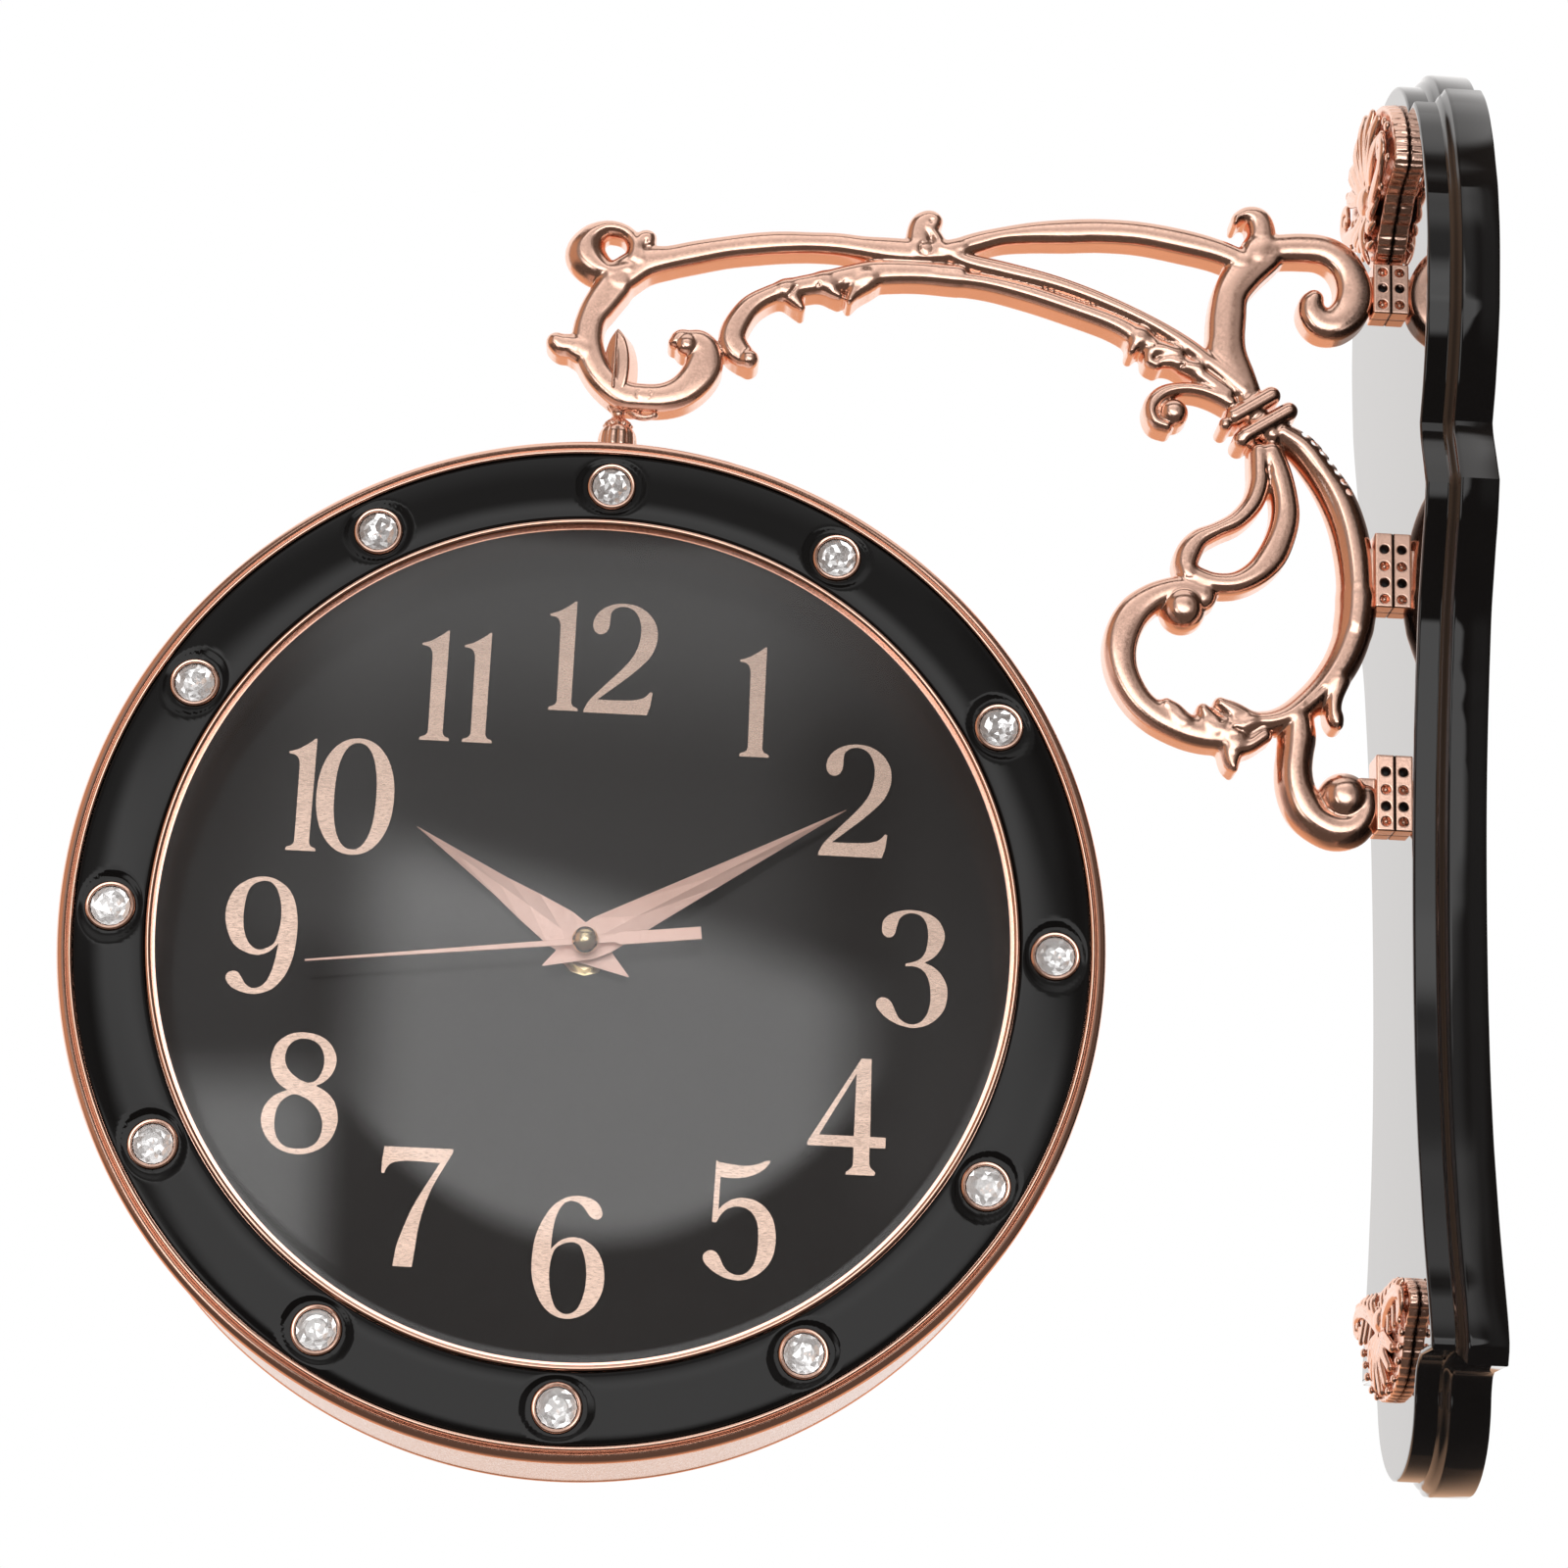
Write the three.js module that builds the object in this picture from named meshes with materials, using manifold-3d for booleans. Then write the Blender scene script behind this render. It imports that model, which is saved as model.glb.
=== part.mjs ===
// Double sided station clock on a scrolled wall bracket.
// Millimetres, +Z up. Origin: middle of the wall plate's flat back, wall on the +X side,
// the dials face -Y (front) and +Y (back).
import * as THREE from 'three';
import { mergeVertices } from 'three/addons/utils/BufferGeometryUtils.js';
import Module from 'manifold-3d';

const wasm = await Module();
wasm.setup();

// ---------- driving dimensions ----------
const CX = -234.76; // clock axis
const CZ = -67.7;
const SX = -233.8; // hanger stem axis
const RING_SEGS = 40; // facets round the clock
const PHASE = Math.PI / RING_SEGS; // a flat facet at the very top

const PLATE_FRONT = -18.85; // front face of the wall plate
const PLATE_STEP = -12.85; // front layer ends here
const PLATE_REAR = -10.25; // rear layer starts here
const PLATE_FLARE = 3.66; // rear layer stands out this far
const PLATE_POCKET = -14.6; // floor of the pocket behind
const BOARD_T = 3; // back board thickness

const BRACKET_HALF = 5.5; // depth of one bracket half
const FOOT_HALF = 4.9;

const BAND_R = 134.6; // side band
const BAND_T = 1.2;
const BAND_HALF = 26.4; // half width of the band
const DIAL_FACE = 8.6; // distance of a dial's face from the middle plane
const DIAL_T = 0.6;
const DIAL_R = 112.2;
const CRYSTAL_PITCH_R = 121.44;
const CRYSTAL_R = 5;
const CRYSTAL_TURN = 0.27; // degrees, clockwise on each face
const LENS_TOP = 41.8;

const MOVEMENT = 56; // square movement case
const CELL_R = 7.1; // AA cell
const CELL_L = 50;
const CELL_Z = 95; // axis of the cell above the clock axis

// ---------- bracket strokes: [x, z, half width] ----------
const STROKES = {
  upper_left_beam: [[-234.4, 125.2, 3.1], [-228.5, 130.0, 2.6], [-222.0, 132.6, 2.2], [-214.8, 135.0, 2.1], [-206.1, 136.9, 1.9], [-197.3, 138.3, 2.1], [-190.0, 139.0, 2.1], [-182.6, 139.1, 2.1], [-175.2, 139.0, 2.1], [-167.9, 138.3, 2.1], [-160.5, 138.1, 2.4], [-153.1, 138.3, 2.4], [-147.2, 138.5, 2.2], [-141.3, 138.4, 2.1]],
  crown_curl: [[-233.5, 128.2, 2.1], [-237.8, 126.6, 2.8], [-242.4, 128.5, 3.9], [-245.4, 132.9, 4.6], [-244.2, 137.6, 3.3], [-240.6, 140.3, 2.0], [-236.9, 140.2, 1.7], [-234.1, 138.3, 1.4], [-232.5, 135.1, 1.3], [-232.1, 131.7, 1.4]],
  crown_leaf: [[-230.4, 131.6, 1.9], [-230.2, 134.8, 1.9], [-229.3, 137.4, 1.8], [-227.7, 138.4, 1.4], [-226.8, 137.4, 1.1]],
  loop: [[-236.9, 123.5, 3.5], [-240.7, 118.9, 3.3], [-243.0, 114.1, 2.8], [-243.6, 108.6, 2.9], [-242.8, 103.2, 2.9], [-240.7, 97.8, 2.7], [-237.2, 93.8, 2.7], [-232.7, 90.9, 2.8], [-228.0, 90.4, 2.7], [-222.2, 90.8, 2.8], [-217.2, 92.8, 3.1], [-213.3, 96.5, 3.5], [-210.9, 101.0, 3.9], [-210.7, 105.1, 3.2], [-212.2, 107.9, 2.6], [-215.1, 109.3, 1.8], [-218.0, 108.7, 1.7], [-219.3, 106.9, 1.4]],
  loop_spur: [[-245.3, 103.6, 3.1], [-248.2, 103.2, 2.8], [-250.8, 103.8, 2.6], [-252.5, 104.9, 1.9]],
  lower_left_beam: [[-141.2, 132.9, 2.2], [-152.9, 132.3, 2.2], [-164.0, 131.3, 2.5], [-171.3, 129.9, 2.4], [-178.5, 128.1, 2.1], [-187.2, 125.3, 1.9], [-193.7, 122.4, 1.8], [-198.7, 119.0, 2.1], [-202.1, 113.8, 2.4], [-203.6, 109.4, 2.6], [-202.9, 106.1, 2.9], [-200.3, 104.1, 2.8]],
  tooth_1: [[-187.6, 124.4, 2.1], [-186.0, 120.7, 1.9], [-184.4, 116.8, 0.9]],
  tooth_2: [[-178.1, 127.1, 2.1], [-177.0, 123.2, 1.8], [-176.1, 120.1, 1.0]],
  tooth_3: [[-169.7, 128.8, 2.6], [-171.4, 124.3, 2.2], [-171.8, 119.5, 1.0]],
  rail_upper: [[-144.6, 138.8, 2.1], [-138.1, 136.2, 1.9], [-127.5, 134.1, 2.0], [-113.7, 131.1, 1.8], [-100.7, 126.8, 1.7], [-87.7, 121.2, 1.6], [-77.2, 115.2, 1.8], [-68.2, 108.4, 1.8], [-60.9, 102.4, 1.9]],
  rail_lower: [[-147.7, 131.3, 2.2], [-133.9, 130.4, 2.2], [-121.7, 128.0, 2.4], [-109.6, 124.5, 2.4], [-97.4, 120.5, 2.5], [-89.3, 116.2, 2.7], [-81.2, 111.5, 2.5], [-73.0, 106.4, 2.4], [-65.0, 100.9, 2.4]],
  mid_curl: [[-151.7, 139.0, 2.8], [-152.1, 142.6, 2.9], [-151.1, 146.6, 2.6], [-149.0, 148.7, 1.8], [-147.1, 148.6, 1.4], [-146.7, 146.9, 1.1]],
  mid_curl_foot: [[-145.8, 139.6, 1.8], [-147.3, 142.8, 1.9], [-149.6, 145.9, 1.9]],
  arc: [[-143.0, 138.3, 1.8], [-135.8, 141.7, 2.3], [-128.6, 144.1, 2.4], [-119.7, 146.2, 2.5], [-110.8, 147.3, 2.7], [-101.0, 147.7, 2.7], [-89.6, 147.1, 2.7], [-77.4, 145.2, 2.7], [-68.4, 143.4, 2.5], [-61.1, 141.4, 2.5]],
  duck_curl: [[-57.0, 143.8, 4.1], [-56.1, 149.2, 3.8], [-57.1, 153.5, 3.3], [-59.7, 154.9, 2.2], [-62.1, 154.0, 1.7], [-63.1, 152.5, 1.2]],
  stem: [[-55.4, 143.9, 3.9], [-60.7, 137.9, 3.9], [-64.1, 131.6, 3.6], [-65.9, 124.6, 3.6], [-66.3, 117.6, 3.6], [-65.8, 112.4, 4.1], [-63.2, 106.6, 3.6], [-60.0, 102.0, 2.7]],
  c_scroll: [[-56.2, 144.8, 3.5], [-50.5, 146.6, 2.9], [-44.0, 147.0, 2.9], [-37.9, 146.5, 2.7], [-32.7, 144.0, 2.9], [-29.5, 139.4, 3.3], [-28.7, 133.8, 3.8], [-30.2, 128.4, 3.8], [-33.9, 124.6, 3.5], [-38.3, 123.8, 3.2], [-41.4, 126.2, 2.7], [-41.7, 129.3, 2.1], [-40.3, 131.1, 1.3]],
  small_scroll: [[-64.1, 97.1, 2.2], [-68.2, 99.0, 2.1], [-73.0, 100.3, 1.9], [-77.8, 100.4, 1.9], [-82.2, 99.3, 2.2], [-85.4, 96.5, 2.4], [-86.4, 92.8, 1.9], [-85.1, 89.7, 1.8], [-82.1, 88.5, 1.5]],
  leaf_a: [[-89.3, 116.2, 2.4], [-90.9, 113.5, 1.9], [-92.6, 110.0, 1.0]],
  leaf_b: [[-78.7, 110.8, 1.9], [-83.6, 111.4, 1.9], [-86.4, 110.4, 1.9], [-86.9, 107.8, 1.6], [-85.1, 106.5, 1.2]],
  leaf_c: [[-73.1, 106.9, 2.1], [-77.1, 106.6, 1.8], [-80.3, 107.7, 1.6], [-83.5, 107.8, 1.3]],
  tear_left: [[-56.0, 84.3, 2.5], [-56.6, 80.4, 2.6], [-56.9, 75.1, 2.4], [-58.8, 69.7, 2.3], [-62.7, 64.8, 2.3], [-67.7, 61.3, 2.2], [-72.6, 58.3, 2.4], [-75.8, 54.6, 2.7], [-76.9, 50.6, 2.8], [-75.6, 47.2, 2.4]],
  tear_right: [[-52.5, 84.2, 2.4], [-51.2, 78.4, 2.6], [-50.0, 72.0, 2.6], [-49.6, 66.1, 2.8], [-50.7, 60.2, 2.8], [-53.2, 54.6, 2.8], [-57.1, 49.7, 2.6], [-62.0, 46.2, 2.5], [-67.6, 45.1, 2.4], [-72.2, 46.0, 2.3], [-75.3, 47.8, 2.3]],
  limb: [[-50.2, 89.7, 2.8], [-44.9, 85.2, 3.6], [-39.3, 79.1, 4.2], [-34.9, 71.7, 4.7], [-32.1, 64.2, 4.7], [-30.4, 56.7, 4.7], [-29.7, 49.8, 4.7], [-29.6, 42.3, 4.7], [-29.8, 35.9, 4.6]],
  limb_low: [[-29.6, 43.4, 4.7], [-29.9, 38.7, 4.6], [-31.3, 31.7, 4.3], [-33.9, 24.7, 4.0], [-37.8, 17.9, 3.7], [-42.2, 12.3, 3.5], [-46.6, 8.1, 3.2], [-51.5, 5.8, 3.0], [-56.9, 5.0, 2.9], [-62.4, 3.3, 3.1]],
  limb_spur: [[-34.8, 18.9, 2.0], [-36.4, 14.3, 2.0], [-36.6, 10.3, 1.9], [-36.1, 7.2, 2.2], [-35.5, 5.0, 1.7]],
  c_low: [[-71.7, 41.9, 3.1], [-76.9, 43.3, 2.3], [-81.3, 42.2, 2.4], [-85.7, 39.8, 2.6], [-89.9, 35.9, 2.9], [-92.9, 30.6, 3.1], [-94.2, 24.9, 3.2], [-93.8, 19.2, 3.1], [-91.9, 13.9, 2.8], [-88.7, 9.1, 2.6], [-84.3, 5.5, 2.6], [-79.3, 3.0, 2.6], [-73.8, 2.0, 2.9], [-67.8, 2.0, 3.1], [-62.4, 3.3, 3.2]],
  bump_1: [[-77.7, 5.3, 2.2], [-79.9, 8.0, 2.0], [-81.4, 9.7, 1.6]],
  bump_2: [[-67.8, 4.1, 2.7], [-70.0, 6.8, 2.3], [-71.0, 8.6, 1.7]],
  bump_3: [[-61.3, 6.1, 2.7], [-64.6, 8.8, 2.2], [-66.7, 10.5, 1.6]],
  drip: [[-62.6, 1.6, 2.7], [-63.3, -3.0, 2.3], [-63.3, -6.9, 1.8], [-62.4, -10.0, 1.0]],
  drip_side: [[-62.4, 0.4, 2.0], [-59.1, 0.3, 1.5], [-54.7, 3.1, 1.6]],
  low_stem: [[-44.9, 7.0, 3.9], [-45.5, 3.0, 3.6], [-46.0, -1.5, 3.4], [-46.1, -6.6, 3.5], [-44.9, -11.6, 3.8], [-42.5, -16.2, 4.1], [-38.9, -19.7, 4.3], [-34.6, -21.7, 4.4], [-30.3, -20.9, 4.1], [-27.0, -17.4, 3.6], [-26.4, -13.4, 3.1]],
  neck: [[-59.4, 99.2, 3.0], [-56.4, 94.3, 3.4], [-52.2, 89.6, 3.0]],
  ring_1: [[-63.1, 94.0, 2.3], [-53.6, 100.3, 2.2]],
  ring_2: [[-59.7, 88.5, 2.2], [-49.1, 95.7, 2.1]],
};
const BALLS = {
  loop_ball: [-216.0, 106.5, 3.2],
  beam_ball: [-198.5, 103.3, 2.8],
  small_ball: [-80.6, 93.6, 4.1],
  low_ball: [-76.6, 37.6, 6.3],
  foot_ball: [-32.1, -13.7, 7.2],
  ring_end_1: [-65.6, 91.4, 1.9],
  ring_end_2: [-60.7, 87.0, 2.8],
};
const FEET = [
  { z0: 128.0, z1: 140.9, x: -26.5 },
  { z0: 41.6, z1: 62.0, x: -27.5 },
  { z0: -21.7, z1: -1.7, x: -28.0 },
];
const SCREW_Z = [134.4, 51.8, -11.7];

// half width of the plate's front layer against height
const PLATE_SIDE = [
  [178.0, 35.0], [172.7, 39.5], [165.4, 43.35], [158.2, 46.2], [144.9, 49.8], [132.8, 51.0],
  [116.0, 50.2], [105.7, 48.6], [95.6, 45.6], [85.9, 41.9], [81.2, 39.8], [75.0, 41.2],
  [68.3, 44.0], [61.8, 46.6], [51.8, 43.9], [42.2, 40.2], [32.5, 36.7], [22.2, 34.2],
  [6.9, 31.3], [-8.4, 28.9], [-24.0, 27.2], [-45.0, 26.1], [-71.0, 26.0], [-92.0, 27.1],
  [-113.0, 29.8], [-134.0, 34.4], [-154.0, 40.3], [-164.5, 42.8], [-166.5, 42.3],
  [-166.6, 30.0], [-169.5, 25.5], [-174.0, 23.6], [-180.0, 22.3], [-186.0, 19.5], [-191.5, 14.0],
  [-194.8, 7.0],
];
const LOBE_Z = 163.7;
const LOBE_R = 32.4;

// ---------- solids ----------
// A geometry as one shell of shared vertices with its faces turned outwards.
function shell(geometry) {
  let g = geometry.clone();
  g.deleteAttribute('normal');
  g.deleteAttribute('uv');
  g = mergeVertices(g, 1e-4);
  const p = g.attributes.position.array;
  const idx = [];
  const t = g.index.array;
  for (let i = 0; i < t.length; i += 3) {
    if (t[i] !== t[i + 1] && t[i + 1] !== t[i + 2] && t[i] !== t[i + 2]) idx.push(t[i], t[i + 1], t[i + 2]);
  }
  let volume = 0;
  for (let i = 0; i < idx.length; i += 3) {
    const a = idx[i] * 3, b = idx[i + 1] * 3, c = idx[i + 2] * 3;
    volume +=
      p[a] * (p[b + 1] * p[c + 2] - p[b + 2] * p[c + 1]) -
      p[a + 1] * (p[b] * p[c + 2] - p[b + 2] * p[c]) +
      p[a + 2] * (p[b] * p[c + 1] - p[b + 1] * p[c]);
  }
  if (volume < 0) for (let i = 0; i < idx.length; i += 3) [idx[i + 1], idx[i + 2]] = [idx[i + 2], idx[i + 1]];
  g.setIndex(idx);
  return g;
}

function solid(geometry) {
  const g = shell(geometry);
  return new wasm.Manifold(
    new wasm.Mesh({
      numProp: 3,
      vertProperties: new Float32Array(g.attributes.position.array),
      triVerts: new Uint32Array(g.index.array),
    }),
  );
}

function surface(manifold) {
  const m = manifold.getMesh();
  const pos = new Float32Array((m.vertProperties.length / m.numProp) * 3);
  for (let i = 0; i < pos.length / 3; i++)
    for (let k = 0; k < 3; k++) pos[i * 3 + k] = m.vertProperties[i * m.numProp + k];
  const g = new THREE.BufferGeometry();
  g.setAttribute('position', new THREE.BufferAttribute(pos, 3));
  g.setIndex(Array.from(m.triVerts));
  return g;
}

const join = (list) => list.reduce((a, b) => a.add(b));
const cut = (a, ...tools) => tools.reduce((s, t) => s.subtract(t), a);
// flat faces made of several pieces become one
const tidy = (a, within = 0.12) => a.asOriginal().simplify(within);

function flatShape(points) {
  return new THREE.Shape(points.map(([u, v]) => new THREE.Vector2(u, v)));
}

// Outline in X and Z, thick along Y from y0 to y1.
function alongY(points, y0, y1) {
  const g = new THREE.ExtrudeGeometry(flatShape(points), { depth: Math.abs(y1 - y0), bevelEnabled: false, steps: 1 });
  g.rotateX(Math.PI / 2);
  g.translate(0, Math.max(y0, y1), 0);
  return g;
}

// Outline in Y and Z, thick along X from x0 to x1.
function alongX(points, x0, x1) {
  const g = new THREE.ExtrudeGeometry(flatShape(points), { depth: Math.abs(x1 - x0), bevelEnabled: false, steps: 1 });
  g.applyMatrix4(new THREE.Matrix4().set(0, 0, 1, Math.min(x0, x1), 1, 0, 0, 0, 0, 1, 0, 0, 0, 0, 0, 1));
  return g;
}

function box(x0, x1, y0, y1, z0, z1) {
  const g = new THREE.BoxGeometry(x1 - x0, y1 - y0, z1 - z0);
  g.translate((x0 + x1) / 2, (y0 + y1) / 2, (z0 + z1) / 2);
  return g;
}

// Turned piece: profile of [radius, height], about an axis through (cx, cz) along Y,
// height counted outwards from the middle plane on the side given by dir (-1 front, +1 back).
function turnedY(profile, cx, cz, dir, segs = RING_SEGS, phase = PHASE, height = 0) {
  const g = new THREE.LatheGeometry(profile.map(([r, h]) => new THREE.Vector2(r, h + height)), segs, phase);
  if (dir < 0) g.rotateX(Math.PI);
  g.translate(cx, 0, cz);
  return g;
}

function turnedZ(profile, cx, cy, segs = 12, phase = 0) {
  const g = new THREE.LatheGeometry(profile.map(([r, z]) => new THREE.Vector2(r, z)), segs, phase);
  g.rotateX(Math.PI / 2);
  g.translate(cx, cy, 0);
  return g;
}

function turnedX(profile, cy, cz, segs = 12, phase = 0) {
  const g = new THREE.LatheGeometry(profile.map(([r, x]) => new THREE.Vector2(r, x)), segs, phase);
  g.rotateZ(-Math.PI / 2);
  g.translate(0, cy, cz);
  return g;
}

const rod = (r, a, b) => [[0, a], [r, a], [r, b], [0, b]];
const ring = (r0, r1, a, b) => [[r0, a], [r1, a], [r1, b], [r0, b], [r0, a]];

// Convex outline round a few points.
function hull(points) {
  const p = [...points].sort((a, b) => a[0] - b[0] || a[1] - b[1]);
  const turn = (o, a, b) => (a[0] - o[0]) * (b[1] - o[1]) - (a[1] - o[1]) * (b[0] - o[0]);
  const half = (list) => {
    const h = [];
    for (const q of list) {
      while (h.length > 1 && turn(h[h.length - 2], h[h.length - 1], q) <= 1e-6) h.pop();
      h.push(q);
    }
    h.pop();
    return h;
  };
  return [...half(p), ...half(p.reverse())];
}

function disc(x, z, r, n) {
  const out = [];
  for (let i = 0; i < n; i++) {
    const a = ((i + 0.5) / n) * Math.PI * 2;
    out.push([x + r * Math.cos(a), z + r * Math.sin(a)]);
  }
  return out;
}

// One flat scroll stroke with round ends.
function strokeSolids(stroke, y0, y1) {
  const out = [];
  const side = stroke.map(([x, z, w], i) => {
    const a = stroke[Math.max(0, i - 1)], b = stroke[Math.min(stroke.length - 1, i + 1)];
    let dx = b[0] - a[0], dz = b[1] - a[1];
    const l = Math.hypot(dx, dz);
    dx /= l;
    dz /= l;
    return [[x - dz * w, z + dx * w], [x + dz * w, z - dx * w]];
  });
  for (let i = 0; i + 1 < stroke.length; i++) {
    out.push(solid(alongY(hull([...side[i], ...side[i + 1]]), y0, y1)));
  }
  for (const i of [0, stroke.length - 1]) {
    const [x, z, w] = stroke[i];
    if (w > 1.2) out.push(solid(alongY(disc(x, z, w, 6), y0, y1)));
  }
  return out;
}

// ---------- assembly ----------
const root = new THREE.Group();
const look = (color, roughness, metalness, extra = {}) =>
  new THREE.MeshStandardMaterial({ color, roughness, metalness, flatShading: true, ...extra });

function add(name, geometry, material) {
  const mesh = new THREE.Mesh(shell(geometry), material);
  mesh.name = name;
  root.add(mesh);
  return mesh;
}

const ROSE = [0xdea082, 0.22, 0.9];
const rose = () => look(...ROSE);
const gloss = () => look(0x101012, 0.08, 0.0);
const peach = () => look(0xf0cdb9, 0.35, 0.6);

// ---------- wall plate ----------
function plateOutline(step) {
  const right = [];
  for (const a of [90, 72, 54, 38]) {
    const t = (a * Math.PI) / 180;
    right.push([LOBE_R * Math.cos(t), LOBE_Z + LOBE_R * Math.sin(t)]);
  }
  right[0][0] = 0;
  right.push([29, 178.1]);
  for (const [z, w] of PLATE_SIDE) if (step > -2 || z !== -164.5) right.push([w, z]);
  right.push([0, -195.6]);
  const left = right.slice(1, -1).reverse().map(([y, z]) => [-y, z]);
  const loop = [...right, ...left];
  if (!step) return loop;
  const n = loop.length;
  return loop.map((p, i) => {
    const a = loop[(i + n - 1) % n], b = loop[(i + 1) % n];
    const e = (q, r) => {
      const l = Math.hypot(r[0] - q[0], r[1] - q[1]);
      return [(r[0] - q[0]) / l, (r[1] - q[1]) / l];
    };
    const d0 = e(a, p), d1 = e(p, b);
    // outward normals of a clockwise loop
    const n0 = [-d0[1], d0[0]], n1 = [-d1[1], d1[0]];
    const k = 1 + n0[0] * n1[0] + n0[1] * n1[1];
    return [p[0] + ((n0[0] + n1[0]) * step) / k, p[1] + ((n0[1] + n1[1]) * step) / k];
  });
}

// Skin through equal outlines [y, z] standing at different x, closed by flat ends.
function loft(rings) {
  const n = rings[0].points.length;
  const pos = [];
  const idx = [];
  for (const { x, points } of rings) for (const [y, z] of points) pos.push(x, y, z);
  for (let r = 0; r + 1 < rings.length; r++)
    for (let i = 0; i < n; i++) {
      const j = (i + 1) % n;
      const a = r * n + i, b = r * n + j, c = (r + 1) * n + i, d = (r + 1) * n + j;
      idx.push(a, b, c, b, d, c);
    }
  // both ends, turned the same way as the side skin
  for (const [i0, ringPoints, end] of [[0, rings[0].points, 0], [(rings.length - 1) * n, rings[rings.length - 1].points, 1]]) {
    const contour = ringPoints.map(([u, v]) => new THREE.Vector2(u, v));
    const order = contour.map((_, i) => i);
    const clockwise = THREE.ShapeUtils.isClockWise(contour);
    if (clockwise) {
      contour.reverse();
      order.reverse();
    }
    for (const f of THREE.ShapeUtils.triangulateShape(contour, [])) {
      const [a, b, c] = f.map((v) => i0 + order[v]);
      // the skin's edge at the first ring runs i to i + 1, at the last ring i + 1 to i
      if (clockwise === (end === 0)) idx.push(a, b, c);
      else idx.push(a, c, b);
    }
  }
  const g = new THREE.BufferGeometry();
  g.setAttribute('position', new THREE.BufferAttribute(new Float32Array(pos), 3));
  g.setIndex(idx);
  return g;
}

const plateBody = solid(
  loft([
    { x: PLATE_FRONT, points: plateOutline(-0.8) },
    { x: PLATE_FRONT + 0.8, points: plateOutline(0) },
    { x: PLATE_STEP, points: plateOutline(0) },
    { x: PLATE_REAR, points: plateOutline(PLATE_FLARE) },
    { x: 0, points: plateOutline(PLATE_FLARE) },
  ]),
);
const platePocket = solid(alongX(plateOutline(-3), PLATE_POCKET, 1));
const boardSeat = solid(alongX(plateOutline(1), -BOARD_T, 1));
const screwHoles = SCREW_Z.map((z) => solid(turnedX(rod(2.3, -25, -5), 0, z, 12)));
add('wall_plate', surface(tidy(cut(plateBody, platePocket, boardSeat, ...screwHoles), 0.2)), gloss());

function keyhole(z) {
  const points = [];
  for (let i = 0; i <= 12; i++) {
    const a = ((115 + (310 * i) / 12) * Math.PI) / 180;
    points.push([5 * Math.cos(a), z + 5 * Math.sin(a)]);
  }
  points.push([2.1, z + 12], [1.1, z + 13.5], [-1.1, z + 13.5], [-2.1, z + 12]);
  return solid(alongX(points, -BOARD_T - 2, 2));
}
add(
  'back_board',
  surface(tidy(cut(solid(alongX(plateOutline(0.7), -BOARD_T, 0)), keyhole(148), keyhole(-128)), 0.08)),
  look(0x3a3a3c, 0.6, 0.0),
);

// ---------- carved ornaments on the plate ----------
function mirrored(half) {
  return [...half, ...half.slice().reverse().filter(([y]) => Math.abs(y) > 1e-6).map(([y, z]) => [-y, z])];
}
function scaledTo(points, s, z0) {
  return points.map(([y, z]) => [y * s, z0 + (z - z0) * s]);
}
const UPPER = mirrored([
  [0, 188], [9, 186.5], [16, 184], [24.6, 177.5], [30.3, 168.5], [29.6, 160.8], [21.4, 160.8],
  [15, 157], [8.3, 151], [5.2, 145.7], [0, 143.2],
]);
add(
  'upper_ornament',
  loft([
    { x: PLATE_FRONT, points: UPPER },
    { x: -24.5, points: scaledTo(UPPER, 0.93, 166) },
    { x: -28.5, points: scaledTo(UPPER, 0.6, 168) },
    { x: -30.2, points: scaledTo(UPPER, 0.25, 170) },
  ]),
  rose(),
);
const LOWER = mirrored([
  [0, -146], [8, -142.5], [20, -138], [31, -139.5], [37.8, -146], [36.6, -151.5], [24.3, -157.4],
  [21.1, -164], [14.9, -171], [7, -174.5], [0, -175.5],
]);
add(
  'lower_ornament',
  loft([
    { x: PLATE_FRONT, points: LOWER },
    { x: -23.5, points: scaledTo(LOWER, 0.93, -157) },
    { x: -26.2, points: scaledTo(LOWER, 0.5, -157) },
  ]),
  rose(),
);

// ---------- scroll bracket, two halves back to back ----------
function bracketHalf(sign) {
  const y1 = sign * BRACKET_HALF;
  const parts = [];
  for (const stroke of Object.values(STROKES)) parts.push(...strokeSolids(stroke, 0, y1));
  for (const [x, z, r] of Object.values(BALLS)) parts.push(solid(alongY(disc(x, z, r, 10), 0, y1)));
  for (const { z0, z1, x } of FEET)
    parts.push(solid(alongY([[x, z0], [PLATE_FRONT, z0], [PLATE_FRONT, z1], [x, z1]], 0, sign * FOOT_HALF)));
  const body = tidy(join(parts), 0.35);
  const tools = SCREW_Z.map((z) => solid(turnedX(rod(2.3, -31.2, -15), 0, z, 12)));
  // seats above and below the loop for the hanger
  tools.push(solid(turnedZ(rod(4.4, 78, 88.3), SX, 0, 12)));
  tools.push(solid(turnedZ(rod(2.3, 78, 98), SX, 0, 12)));
  tools.push(solid(turnedZ([[0, 93], [3.5, 93], [4.0, 95.5], [5.0, 101], [5.0, 104], [0, 104]], SX, 0, 12)));
  return tidy(cut(body, ...tools), 0.1);
}
add('bracket_near_half', surface(bracketHalf(-1)), rose());
add('bracket_far_half', surface(bracketHalf(1)), rose());

SCREW_Z.forEach((z, i) => {
  const profile = [[0, -30.8], [2.0, -30.8], [2.0, PLATE_POCKET], [4.2, PLATE_POCKET], [4.2, -12.4], [0, -12.4]];
  add(`bracket_screw_${i + 1}`, turnedX(profile, 0, z, 12), look(0xb9bcc0, 0.35, 0.9));
});

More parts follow.
